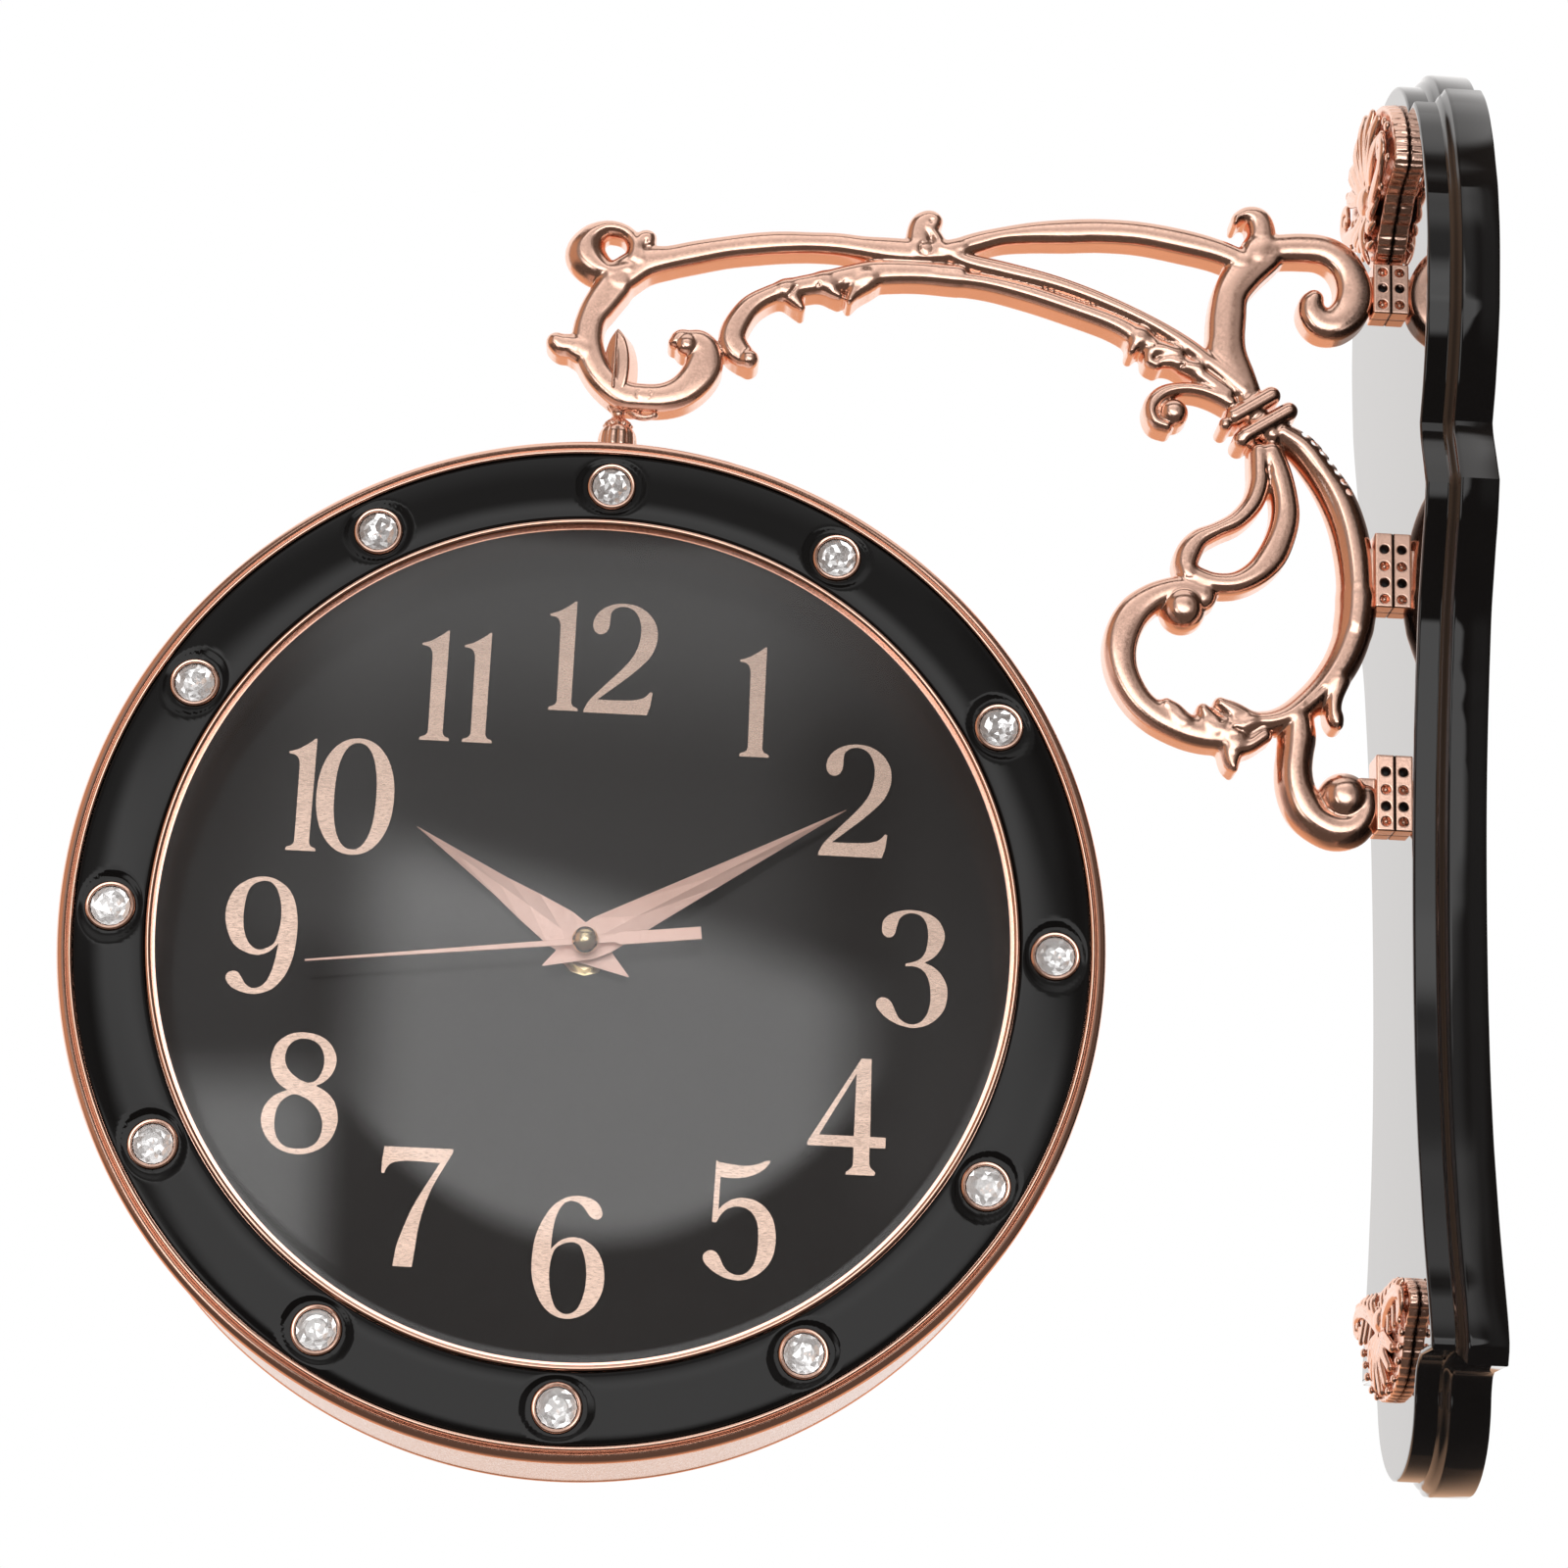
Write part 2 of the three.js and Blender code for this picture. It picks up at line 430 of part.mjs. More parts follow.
// ---------- hanger ----------
const FLANGE_Z = CZ + BAND_R * Math.cos(PHASE); // flat on top of the band
add(
  'hanger_stem',
  turnedZ(
    [
      [0, 55], [2, 55], [2, 68.6], [6.2, 68.6], [7.0, 70.2], [6.2, 71.8], [6.5, 73.4], [5.4, 75.0],
      [5.3, 77.2], [4.1, 79.2], [3.7, 82.4], [3.4, 85.6], [3.9, 88.3], [2, 88.3], [2, 104], [0, 104],
    ],
    SX, 0, 12,
  ),
  rose(),
);
add(
  'leaf_finial',
  turnedZ([[0, 104.5], [2, 104.5], [2, 93], [3.1, 93], [3.6, 95.5], [4.6, 101], [3.6, 107], [1.8, 110], [0, 111.5]], SX, 0, 12),
  rose(),
);
add('stem_nut', turnedZ(ring(2, 5, 58.2, 61.6), SX, 0, 12), look(0xb9bcc0, 0.35, 0.9));
add(
  'hanger_bush',
  turnedZ([[2.4, 61.6], [3.9, 61.6], [3.9, FLANGE_Z], [6.8, FLANGE_Z], [6.8, FLANGE_Z + 1.4], [2.4, FLANGE_Z + 1.4], [2.4, 61.6]], SX, 0, 12),
  look(0xd8c08a, 0.3, 0.9),
);

// ---------- clock case ----------
const bandProfile = ring(BAND_R - BAND_T, BAND_R, -BAND_HALF, BAND_HALF);
add(
  'side_band',
  surface(cut(solid(turnedY(bandProfile, CX, CZ, 1)), solid(turnedZ(rod(4.2, 50, 80), SX, 0, 12)))),
  look(0xe8d0ca, 0.35, 0.5),
);

// ---------- the two faces ----------
const BEZEL = [
  [110.0, DIAL_FACE], [110.0, 28.6], [110.9, 28.6], [111.2, 31.2], [112.4, 30.9],
  [112.4, 28.2], [130.8, 28.2], [131.4, 31.0], [134.2, 29.8],
  [134.9, BAND_HALF], [133.1, BAND_HALF], [133.1, 20.0], [131.6, 20.0], [131.6, 26.6],
  [DIAL_R, 26.6], [DIAL_R, DIAL_FACE], [110.0, DIAL_FACE],
];
const INSERT = [[112.7, 28.2], [130.6, 28.2], [130.6, 30.3], [112.7, 30.7], [112.7, 28.2]];
const LENS = [
  [0, LENS_TOP - 2], [54, LENS_TOP - 4.8], [107.5, 28.6], [110.6, 28.6],
  [110.6, 30.3], [55, LENS_TOP - 2.8], [0, LENS_TOP],
];
const CRYSTAL = [[0, 28.2], [4.0, 28.2], [CRYSTAL_R, 30.4], [2.9, 32.3], [0, 32.3]];

function face(prefix, dir) {
  add(`${prefix}_bezel`, turnedY(BEZEL, CX, CZ, dir), rose());
  const holes = [];
  for (let i = 1; i <= 12; i++) {
    // clockwise as seen from outside this face
    const a = ((i * 30 + CRYSTAL_TURN) * Math.PI) / 180;
    const x = CX - dir * CRYSTAL_PITCH_R * Math.sin(a);
    const z = CZ + CRYSTAL_PITCH_R * Math.cos(a);
    holes.push(solid(turnedY(rod(5.35, 20, 40), x, z, dir, 8, 0)));
    add(
      `${prefix}_crystal_${String(i).padStart(2, '0')}`,
      turnedY(CRYSTAL, x, z, dir, 8, 0),
      look(0xf6f6fa, 0.02, 0.0, { transparent: true, opacity: 0.8 }),
    );
  }
  add(`${prefix}_insert`, surface(cut(solid(turnedY(INSERT, CX, CZ, dir)), ...holes)), gloss());
  add(`${prefix}_lens`, turnedY(LENS, CX, CZ, dir), look(0xffffff, 0.02, 0.0, { transparent: true, opacity: 0.2 }));
  add(`${prefix}_dial`, turnedY(ring(4.3, DIAL_R, DIAL_FACE - DIAL_T, DIAL_FACE), CX, CZ, dir), look(0x18181a, 0.5, 0.0));
  add(`${prefix}_washer`, turnedY(ring(3.9, 7, DIAL_FACE, DIAL_FACE + 0.8), CX, CZ, dir, 12, 0), look(0xd8c9a0, 0.3, 0.9));
  add(
    `${prefix}_nut`,
    surface(
      cut(
        solid(turnedY(rod(6.2, DIAL_FACE + 0.8, DIAL_FACE + 3.4), CX, CZ, dir, 6, 0)),
        solid(turnedY(rod(3.9, 0, 20), CX, CZ, dir, 12, 0)),
      ),
    ),
    look(0xd8c9a0, 0.3, 0.9),
  );

  // hands: pointed leaves on nested pipes, angle clockwise from twelve
  const hand = (name, deg, outline, plane, pipeOut, pipeIn, pipeFrom, extra = []) => {
    const t = (deg * Math.PI) / 180;
    const points = outline.map(([across, along]) => {
      const s = along * Math.sin(t) + across * Math.cos(t);
      const c = along * Math.cos(t) - across * Math.sin(t);
      return [CX - dir * s, CZ + c];
    });
    const bits = [solid(alongY(points, dir * plane, dir * (plane + 0.8)))];
    bits.push(solid(turnedY(rod(pipeOut, pipeFrom, plane + 0.8), CX, CZ, dir, 12, 0)));
    for (const e of extra) bits.push(solid(e));
    let body = join(bits);
    if (pipeIn) body = cut(body, solid(turnedY(rod(pipeIn, 5, 30), CX, CZ, dir, 12, 0)));
    add(name, surface(body), peach());
  };
  hand(`${prefix}_hour_hand`, 303.2, [[0, -14], [5.5, 6], [0, 54.8], [-5.5, 6]], 13.4, 2.7, 2.0, 9.6);
  hand(`${prefix}_minute_hand`, 59.4, [[0, -12.6], [5.2, 4], [0, 77.7], [-5.2, 4]], 16.4, 1.7, 1.1, 9.6);
  hand(
    `${prefix}_second_hand`, 263.1,
    [[0.25, 72.6], [0.9, 3], [0.9, -8], [1.7, -9], [1.7, -30.3], [-1.7, -30.3], [-1.7, -9], [-0.9, -8], [-0.9, 3], [-0.25, 72.6]],
    19.4, 0.8, 0, 9.6,
    [turnedY([[0, 19.4], [3.4, 19.4], [3.4, 22.4], [2.2, 23.6], [0, 24.1]], CX, CZ, dir, 12, 0)],
  );
}
face('front', -1);
face('back', 1);

// ---------- movement between the dials ----------
const M = MOVEMENT / 2;
const INNER = DIAL_FACE - DIAL_T;
let movement = solid(box(CX - M, CX + M, -INNER, INNER, CZ - M, CZ + M));
for (const dir of [-1, 1]) {
  movement = movement.add(solid(turnedY(rod(3.9, 5, DIAL_FACE + 4.0), CX, CZ, dir, 12, 0)));
}
for (const dir of [-1, 1]) {
  movement = movement.subtract(solid(turnedY(rod(3.1, 9.0, 20), CX, CZ, dir, 12, 0)));
}
movement = movement.subtract(solid(turnedX(rod(2, CX - 80, CX - M + 5), 0, CZ, 12)));
add('movement_case', surface(movement), look(0x1c1c1e, 0.55, 0.0));

add(
  'battery_box',
  surface(
    cut(
      // an arm that carries the leads joins the box to the movement
      solid(box(CX - 29, CX + 29, -INNER, INNER, CZ + 86, CZ + 104)).add(solid(box(CX - 4, CX + 4, -INNER, -INNER + 2.5, CZ + M, CZ + 90))),
      solid(box(CX - 26.8, CX + 26.8, -7.4, 7.4, CZ + CELL_Z - CELL_R - 0.2, CZ + 110)),
    ),
  ),
  look(0x1c1c1e, 0.55, 0.0),
);
add(
  'battery_cell',
  turnedX([[0, CX - CELL_L / 2], [CELL_R, CX - CELL_L / 2], [CELL_R, CX + CELL_L / 2], [2.7, CX + CELL_L / 2], [2.7, CX + CELL_L / 2 + 1.2], [0, CX + CELL_L / 2 + 1.2]], 0, CZ + CELL_Z, 12),
  look(0x2f6f4f, 0.4, 0.3),
);
add(
  'set_knob',
  turnedX([[0, CX - 104], [5.6, CX - 104], [6.4, CX - 102.5], [6.4, CX - 98.5], [5.6, CX - 97.5], [1.5, CX - 97.5], [1.5, CX - M + 4], [0, CX - M + 4]], 0, CZ, 12),
  look(0x1c1c1e, 0.5, 0.0),
);

export default root;
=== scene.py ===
import math

import bmesh
import bpy
import numpy as np
from mathutils import Matrix, Vector
from mathutils.geometry import tessellate_polygon


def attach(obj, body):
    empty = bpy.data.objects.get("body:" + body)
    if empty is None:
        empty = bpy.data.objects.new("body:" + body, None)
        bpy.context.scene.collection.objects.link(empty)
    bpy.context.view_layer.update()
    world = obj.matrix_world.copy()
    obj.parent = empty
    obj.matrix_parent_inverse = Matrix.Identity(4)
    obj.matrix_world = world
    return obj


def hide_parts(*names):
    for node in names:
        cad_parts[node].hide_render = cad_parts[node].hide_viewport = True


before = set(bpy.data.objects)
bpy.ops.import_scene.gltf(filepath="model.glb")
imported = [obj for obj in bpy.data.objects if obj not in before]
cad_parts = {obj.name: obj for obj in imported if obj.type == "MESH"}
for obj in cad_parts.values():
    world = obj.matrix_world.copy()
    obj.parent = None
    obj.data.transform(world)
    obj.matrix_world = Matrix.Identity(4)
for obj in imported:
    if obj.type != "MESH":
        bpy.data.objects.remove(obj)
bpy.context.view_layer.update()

# ------------------------------------------------------------------ sizes, mm
CX, CZ = -234.76, -67.7      # clock axis
SX = -233.8                  # hanger axis
PLATE_FRONT = -18.85
DIAL_FACE = 8.6

# ------------------------------------------------------------------ camera
CAM_AT = Vector((-0.22073, -0.93296, -0.27759))
CAM_R = (
    (0.9979995624596008, -0.050108683977758806, 0.03854858130285377),
    (0.050563730569932186, 0.26663467715812955, -0.9624703933564043),
    (0.037949736248054936, 0.9624941915288618, 0.26863497313623547),
)
cam_data = bpy.data.cameras.new("camera")
cam = bpy.data.objects.new("camera", cam_data)
bpy.context.collection.objects.link(cam)
right, down, fwd = (Vector(v) for v in CAM_R)
cam.matrix_world = Matrix(
    (
        (right.x, -down.x, -fwd.x, CAM_AT.x),
        (right.y, -down.y, -fwd.y, CAM_AT.y),
        (right.z, -down.z, -fwd.z, CAM_AT.z),
        (0, 0, 0, 1),
    )
)
cam_data.sensor_width = 36.0
cam_data.lens = 3669.4 / 1600 * 36.0
cam_data.clip_start = 0.01
cam_data.clip_end = 50
bpy.context.scene.camera = cam
bpy.context.scene.view_settings.view_transform = "Standard"
bpy.context.scene.view_settings.look = "None"


# ------------------------------------------------------------------ materials
class Nodes:
    """A node tree being filled."""

    def __init__(self, tree):
        self.t = tree

    def add(self, kind, **props):
        n = self.t.nodes.new(kind)
        ins = props.pop("ins", {})
        for k, v in props.items():
            setattr(n, k, v)
        for k, v in ins.items():
            self.put(n.inputs[k], v)
        return n

    def put(self, socket, v):
        if isinstance(v, bpy.types.NodeSocket):
            self.t.links.new(v, socket)
        else:
            socket.default_value = v

    def math(self, op, a, b=0.0, c=None, clamp=False):
        n = self.t.nodes.new("ShaderNodeMath")
        n.operation = op
        n.use_clamp = clamp
        self.put(n.inputs[0], a)
        self.put(n.inputs[1], b)
        if c is not None:
            self.put(n.inputs[2], c)
        return n.outputs[0]

    def span(self, v, a, b, lo=0.0, hi=1.0, smooth=True):
        n = self.t.nodes.new("ShaderNodeMapRange")
        n.interpolation_type = "SMOOTHSTEP" if smooth else "LINEAR"
        for i, x in enumerate((v, a, b, lo, hi)):
            self.put(n.inputs[i], x)
        return n.outputs[0]

    def noise(self, scale, detail=3.0, rough=0.5, vector=None, out="Fac"):
        n = self.t.nodes.new("ShaderNodeTexNoise")
        n.inputs["Scale"].default_value = scale
        n.inputs["Detail"].default_value = detail
        n.inputs["Roughness"].default_value = rough
        if vector is not None:
            self.t.links.new(vector, n.inputs["Vector"])
        return n.outputs[out]

    def mix(self, fac, a, b):
        n = self.t.nodes.new("ShaderNodeMix")
        n.data_type = "RGBA"
        self.put(n.inputs[0], fac)
        self.put(n.inputs[6], a)
        self.put(n.inputs[7], b)
        return n.outputs[2]

    def object_coord(self):
        return self.t.nodes.new("ShaderNodeTexCoord").outputs["Object"]


def rgb(r, g, b):
    """sRGB 0-255 to linear RGBA."""
    f = lambda c: c / 12.92 if c <= 0.04045 else ((c + 0.055) / 1.055) ** 2.4
    return (f(r / 255), f(g / 255), f(b / 255), 1.0)


def material(name, base, rough, metal=0.0, spread=0.06, rough_spread=0.25, grain=900.0, bump=0.02,
             bump_scale=1500.0, bump_mm=0.02, ior=None, coat=0.0, spec=None, stretch=None):
    """Principled finish whose colour and roughness wander a little and whose surface is never dead flat."""
    m = bpy.data.materials.new(name)
    m.use_nodes = True
    t = m.node_tree
    t.nodes.clear()
    n = Nodes(t)
    out = n.add("ShaderNodeOutputMaterial")
    p = n.add("ShaderNodeBsdfPrincipled")
    t.links.new(p.outputs[0], out.inputs[0])
    co = n.object_coord()
    if stretch:
        mp = n.add("ShaderNodeMapping")
        t.links.new(co, mp.inputs["Vector"])
        mp.inputs["Scale"].default_value = stretch
        co = mp.outputs[0]
    wander = n.noise(grain * 0.05, 4.0, 0.6, co)
    fine = n.noise(grain, 3.0, 0.6, co)
    dark = tuple(c * (1 - spread) for c in base[:3]) + (1.0,)
    light = tuple(min(1.0, c * (1 + spread)) for c in base[:3]) + (1.0,)
    t.links.new(n.mix(n.span(wander, 0.3, 0.7), dark, light), p.inputs["Base Color"])
    r = n.span(fine, 0.3, 0.7, rough * (1 - rough_spread), rough * (1 + rough_spread))
    t.links.new(r, p.inputs["Roughness"])
    p.inputs["Metallic"].default_value = metal
    if ior:
        p.inputs["IOR"].default_value = ior
    if spec is not None:
        p.inputs["Specular IOR Level"].default_value = spec
    if coat:
        p.inputs["Coat Weight"].default_value = coat
        p.inputs["Coat Roughness"].default_value = 0.03
    if bump:
        b = n.add("ShaderNodeBump")
        b.inputs["Strength"].default_value = bump
        b.inputs["Distance"].default_value = bump_mm / 1000
        t.links.new(n.noise(bump_scale, 2.0, 0.5, co), b.inputs["Height"])
        t.links.new(b.outputs[0], p.inputs["Normal"])
    return m


ROSE = material("rose_plating", (0.92, 0.60, 0.475, 1), 0.2, 1.0, spread=0.03, rough_spread=0.3, grain=1400,
                bump=0.3, bump_scale=380, bump_mm=0.05)
ROSE_RIM = material("rose_rim", (0.93, 0.585, 0.455, 1), 0.16, 1.0, spread=0.02, grain=1600, bump=0.08,
                    bump_scale=300, bump_mm=0.03)
ROSE_CUP = material("rose_cup", (0.9, 0.6, 0.48, 1), 0.12, 1.0, spread=0.02, grain=1600, bump=0.05)
FOIL = material("stone_foil", (0.95, 0.955, 0.965, 1), 0.1, 0.8, spread=0.03, grain=1800, bump=0.05)
BLACK = material("black_gloss", (0.007, 0.007, 0.0072, 1), 0.045, 0.0, spread=0.1, rough_spread=0.2, grain=700,
                 bump=0.03, bump_scale=160, bump_mm=0.05, ior=1.3)
DIAL = material("dial_black", (0.011, 0.0098, 0.0095, 1), 0.16, 0.0, spread=0.05, rough_spread=0.07, grain=2600,
                bump=0.02, ior=1.22)
INK = material("numeral_foil", (0.46, 0.34, 0.278, 1), 0.24, 1.0, spread=0.06, rough_spread=0.35, grain=2500,
               bump=0.12, bump_scale=1200, stretch=(0.25, 1, 1.6))
HAND = material("hand_metal", (0.98, 0.69, 0.60, 1), 0.5, 0.7, spread=0.03, grain=2500, bump=0.04,
                stretch=(1, 1, 1))
BRASS = material("brass", (0.83, 0.68, 0.42, 1), 0.22, 1.0, spread=0.05, grain=2500, bump=0.1)
STEEL = material("zinc_steel", (0.62, 0.63, 0.65, 1), 0.3, 1.0, spread=0.05, grain=2000, bump=0.1)
BAND = material("pink_satin", (0.97, 0.85, 0.82, 1), 0.3, 0.7, spread=0.02, rough_spread=0.1, grain=1800, bump=0.03,
                stretch=(1, 0.12, 1))
BOARD = material("board", (0.028, 0.028, 0.03, 1), 0.6, 0.0, spread=0.2, grain=1500, bump=0.4, bump_mm=0.05)
MATTE = material("black_matte", (0.018, 0.018, 0.019, 1), 0.5, 0.0, spread=0.15, grain=3000, bump=0.5,
                 bump_scale=3500, bump_mm=0.03)
CELL = material("cell_sleeve", (0.06, 0.2, 0.13, 1), 0.28, 0.2, spread=0.06, grain=900, bump=0.05)


def clear_material(name, ior, tint=(1, 1, 1, 1)):
    m = bpy.data.materials.new(name)
    m.use_nodes = True
    t = m.node_tree
    t.nodes.clear()
    n = Nodes(t)
    out = n.add("ShaderNodeOutputMaterial")
    see = n.add("ShaderNodeBsdfTransparent", ins={"Color": tint})
    shine = n.add("ShaderNodeBsdfGlossy", ins={"Color": (1, 1, 1, 1)})
    co = n.object_coord()
    t.links.new(n.span(n.noise(40, 2.0, 0.5, co), 0.3, 0.7, 0.012, 0.02), shine.inputs["Roughness"])
    f0 = ((ior - 1) / (ior + 1)) ** 2
    lw = n.add("ShaderNodeLayerWeight", ins={"Blend": 0.5})
    fac = n.math("ADD", n.math("MULTIPLY", n.math("POWER", lw.outputs["Facing"], 5.0), 1 - f0), f0, clamp=True)
    mx = n.add("ShaderNodeMixShader")
    t.links.new(fac, mx.inputs[0])
    t.links.new(see.outputs[0], mx.inputs[1])
    t.links.new(shine.outputs[0], mx.inputs[2])
    t.links.new(mx.outputs[0], out.inputs[0])
    return m


LENS = clear_material("lens_clear", 1.4)


STONE = clear_material("stone_crown", 1.9)


def lacquer_material():
    """Black lacquer that turns to a mirror at low angles."""
    m = bpy.data.materials.new("plate_lacquer")
    m.use_nodes = True
    t = m.node_tree
    t.nodes.clear()
    n = Nodes(t)
    out = n.add("ShaderNodeOutputMaterial")
    co = n.object_coord()
    under = n.add("ShaderNodeBsdfDiffuse")
    t.links.new(n.mix(n.noise(60, 3.0, 0.5, co), (0.006, 0.006, 0.0062, 1), (0.0085, 0.0085, 0.009, 1)), under.inputs["Color"])
    gloss = n.add("ShaderNodeBsdfGlossy", ins={"Color": (1, 1, 1, 1)})
    t.links.new(n.span(n.noise(300, 2.0, 0.5, co), 0.3, 0.7, 0.02, 0.035), gloss.inputs["Roughness"])
    bump = n.add("ShaderNodeBump")
    bump.inputs["Strength"].default_value = 0.02
    bump.inputs["Distance"].default_value = 0.00005
    t.links.new(n.noise(90, 2.0, 0.5, co), bump.inputs["Height"])
    t.links.new(bump.outputs[0], gloss.inputs["Normal"])
    lw = n.add("ShaderNodeLayerWeight", ins={"Blend": 0.5})
    fac = n.math("ADD", n.math("MULTIPLY", n.math("POWER", lw.outputs["Facing"], 2.3), 0.96), 0.026, clamp=True)
    mx = n.add("ShaderNodeMixShader")
    t.links.new(fac, mx.inputs[0])
    t.links.new(under.outputs[0], mx.inputs[1])
    t.links.new(gloss.outputs[0], mx.inputs[2])
    t.links.new(mx.outputs[0], out.inputs[0])
    return m


PLATE_BLACK = lacquer_material()


# ------------------------------------------------------------------ mesh helpers
def make(name, verts, faces, mat, body, smooth=True, replaces=()):
    """A mesh piece from millimetre points, riding on a body."""
    me = bpy.data.meshes.new(name)
    v = np.asarray(verts, dtype=np.float64) * 0.001
    if isinstance(faces, np.ndarray):
        k = faces.shape[1]
        me.vertices.add(len(v))
        me.vertices.foreach_set("co", v.astype(np.float32).ravel())
        me.loops.add(faces.size)
        me.loops.foreach_set("vertex_index", faces.astype(np.int32).ravel())
        me.polygons.add(len(faces))
        me.polygons.foreach_set("loop_start", np.arange(0, faces.size, k, dtype=np.int32))
        me.update(calc_edges=True)
        me.validate()
    else:
        me.from_pydata([tuple(p) for p in v], [], [tuple(f) for f in faces])
        me.update()
    me.polygons.foreach_set("use_smooth", [bool(smooth)] * len(me.polygons))
    me.materials.append(mat)
    o = bpy.data.objects.new(name, me)
    bpy.context.collection.objects.link(o)
    if body:
        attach(o, body)
    if replaces:
        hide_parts(*replaces)
    return o


def sharpen(o, degrees):
    """Smooth shading that breaks at edges steeper than this."""
    me = o.data
    bm = bmesh.new()
    bm.from_mesh(me)
    lim = math.radians(degrees)
    for e in bm.edges:
        if len(e.link_faces) == 2 and e.calc_face_angle(0) > lim:
            e.smooth = False
    bm.to_mesh(me)
    bm.free()


def outward(o):
    bm = bmesh.new()
    bm.from_mesh(o.data)
    bmesh.ops.remove_doubles(bm, verts=bm.verts, dist=1e-7)
    bmesh.ops.recalc_face_normals(bm, faces=bm.faces)
    bm.to_mesh(o.data)
    bm.free()
    return o


def lathe(profile, segs, place):
    """profile: [r, h]; place(r, h, cos, sin) -> arrays x, y, z. Closed loop unless both ends are on the axis."""
    prof = np.array(profile, float)
    closed = not (prof[0, 0] < 1e-9 and prof[-1, 0] < 1e-9)
    if closed and np.allclose(prof[0], prof[-1]):
        prof = prof[:-1]
    n = len(prof)
    a = np.arange(segs) * 2 * np.pi / segs
    r, h = prof[:, 0][:, None], prof[:, 1][:, None]
    x, y, z = place(r, h, np.cos(a)[None, :], np.sin(a)[None, :])
    verts = np.stack([np.broadcast_to(q, (n, segs)).ravel() for q in (x, y, z)], 1)
    faces = []
    for i in range(n if closed else n - 1):
        j = (i + 1) % n
        for s in range(segs):
            t = (s + 1) % segs
            q = [i * segs + s, i * segs + t, j * segs + t, j * segs + s]
            if not closed and prof[i, 0] < 1e-9:
                q = [q[0], q[2], q[3]]
            elif not closed and prof[j, 0] < 1e-9:
                q = [q[0], q[1], q[2]]
            faces.append(q)
    if not closed:
        for i in (0, n - 1):
            for f in faces:
                for k, v in enumerate(f):
                    if i * segs <= v < (i + 1) * segs:
                        f[k] = i * segs
        used = np.unique(np.concatenate([np.array(f) for f in faces]))
        new = -np.ones(len(verts), int)
        new[used] = np.arange(len(used))
        verts = verts[used]
        faces = [[int(new[v]) for v in f] for f in faces]
    return verts, faces


def axis_y(cx, cz, dirn):
    """Turned about an axis along Y; h counts outwards on the side of dirn (-1 front, +1 back)."""
    return lambda r, h, c, s: (cx + r * c, dirn * h + 0 * c, cz + r * s)


def axis_z(cx, cy):
    return lambda r, h, c, s: (cx + r * c, cy + r * s, h + 0 * c)


def axis_x(cy, cz):
    return lambda r, h, c, s: (h + 0 * c, cy + r * c, cz + r * s)


def turned(name, profile, place, mat, body, segs=96, replaces=(), sharp=35):
    v, f = lathe(profile, segs, place)
    o = make(name, v, f, mat, body, True, replaces)
    outward(o)
    sharpen(o, sharp)
    return o


def arc(cx, cy, r, a0, a1, n):
    return [(cx + r * math.cos(math.radians(a0 + (a1 - a0) * i / n)), cy + r * math.sin(math.radians(a0 + (a1 - a0) * i / n)))
            for i in range(n + 1)]


def prism(name, poly, holes, place, lo, hi, mat, body, replaces=(), bevel=0.0):
    """Flat outline made solid between two levels; place(u, v, w) -> x, y, z."""
    loops = [poly] + list(holes)
    flat = [p for l in loops for p in l]
    tris = tessellate_polygon([[Vector((p[0], p[1], 0)) for p in l] for l in loops])
    n = len(flat)
    verts = [place(u, v, lo) for u, v in flat] + [place(u, v, hi) for u, v in flat]
    faces = [tuple(t) for t in tris] + [tuple(i + n for i in t[::-1]) for t in tris]
    at = 0
    for l in loops:
        m = len(l)
        for i in range(m):
            a, b = at + i, at + (i + 1) % m
            faces.append((a, b, b + n, a + n))
        at += m
    o = make(name, verts, faces, mat, body, False, replaces)
    outward(o)
    if bevel:
        bm = bmesh.new()
        bm.from_mesh(o.data)
        bmesh.ops.dissolve_limit(bm, angle_limit=0.01, verts=bm.verts, edges=bm.edges)
        edges = [e for e in bm.edges if len(e.link_faces) == 2 and e.calc_face_angle(0) > 0.9]
        bmesh.ops.bevel(bm, geom=edges, offset=bevel * 0.001, segments=2, profile=0.6, affect="EDGES", clamp_overlap=True)
        bm.to_mesh(o.data)
        bm.free()
    return o


def spline(points, step=1.0):
    """Catmull-Rom through the points (any number of columns), spaced about step apart."""
    p = np.array(points, float)
    q = np.vstack([2 * p[0] - p[1], p, 2 * p[-1] - p[-2]])
    out = []
    for i in range(1, len(q) - 2):
        p0, p1, p2, p3 = q[i - 1], q[i], q[i + 1], q[i + 2]
        n = max(2, int(np.ceil(np.hypot(*(p2 - p1)[:2]) / step)))
        for k in range(n):
            t = k / n
            out.append(0.5 * ((2 * p1) + (-p0 + p2) * t + (2 * p0 - 5 * p1 + 4 * p2 - p3) * t * t
                              + (-p0 + 3 * p1 - 3 * p2 + p3) * t ** 3))
    out.append(p[-1])
    return np.array(out)


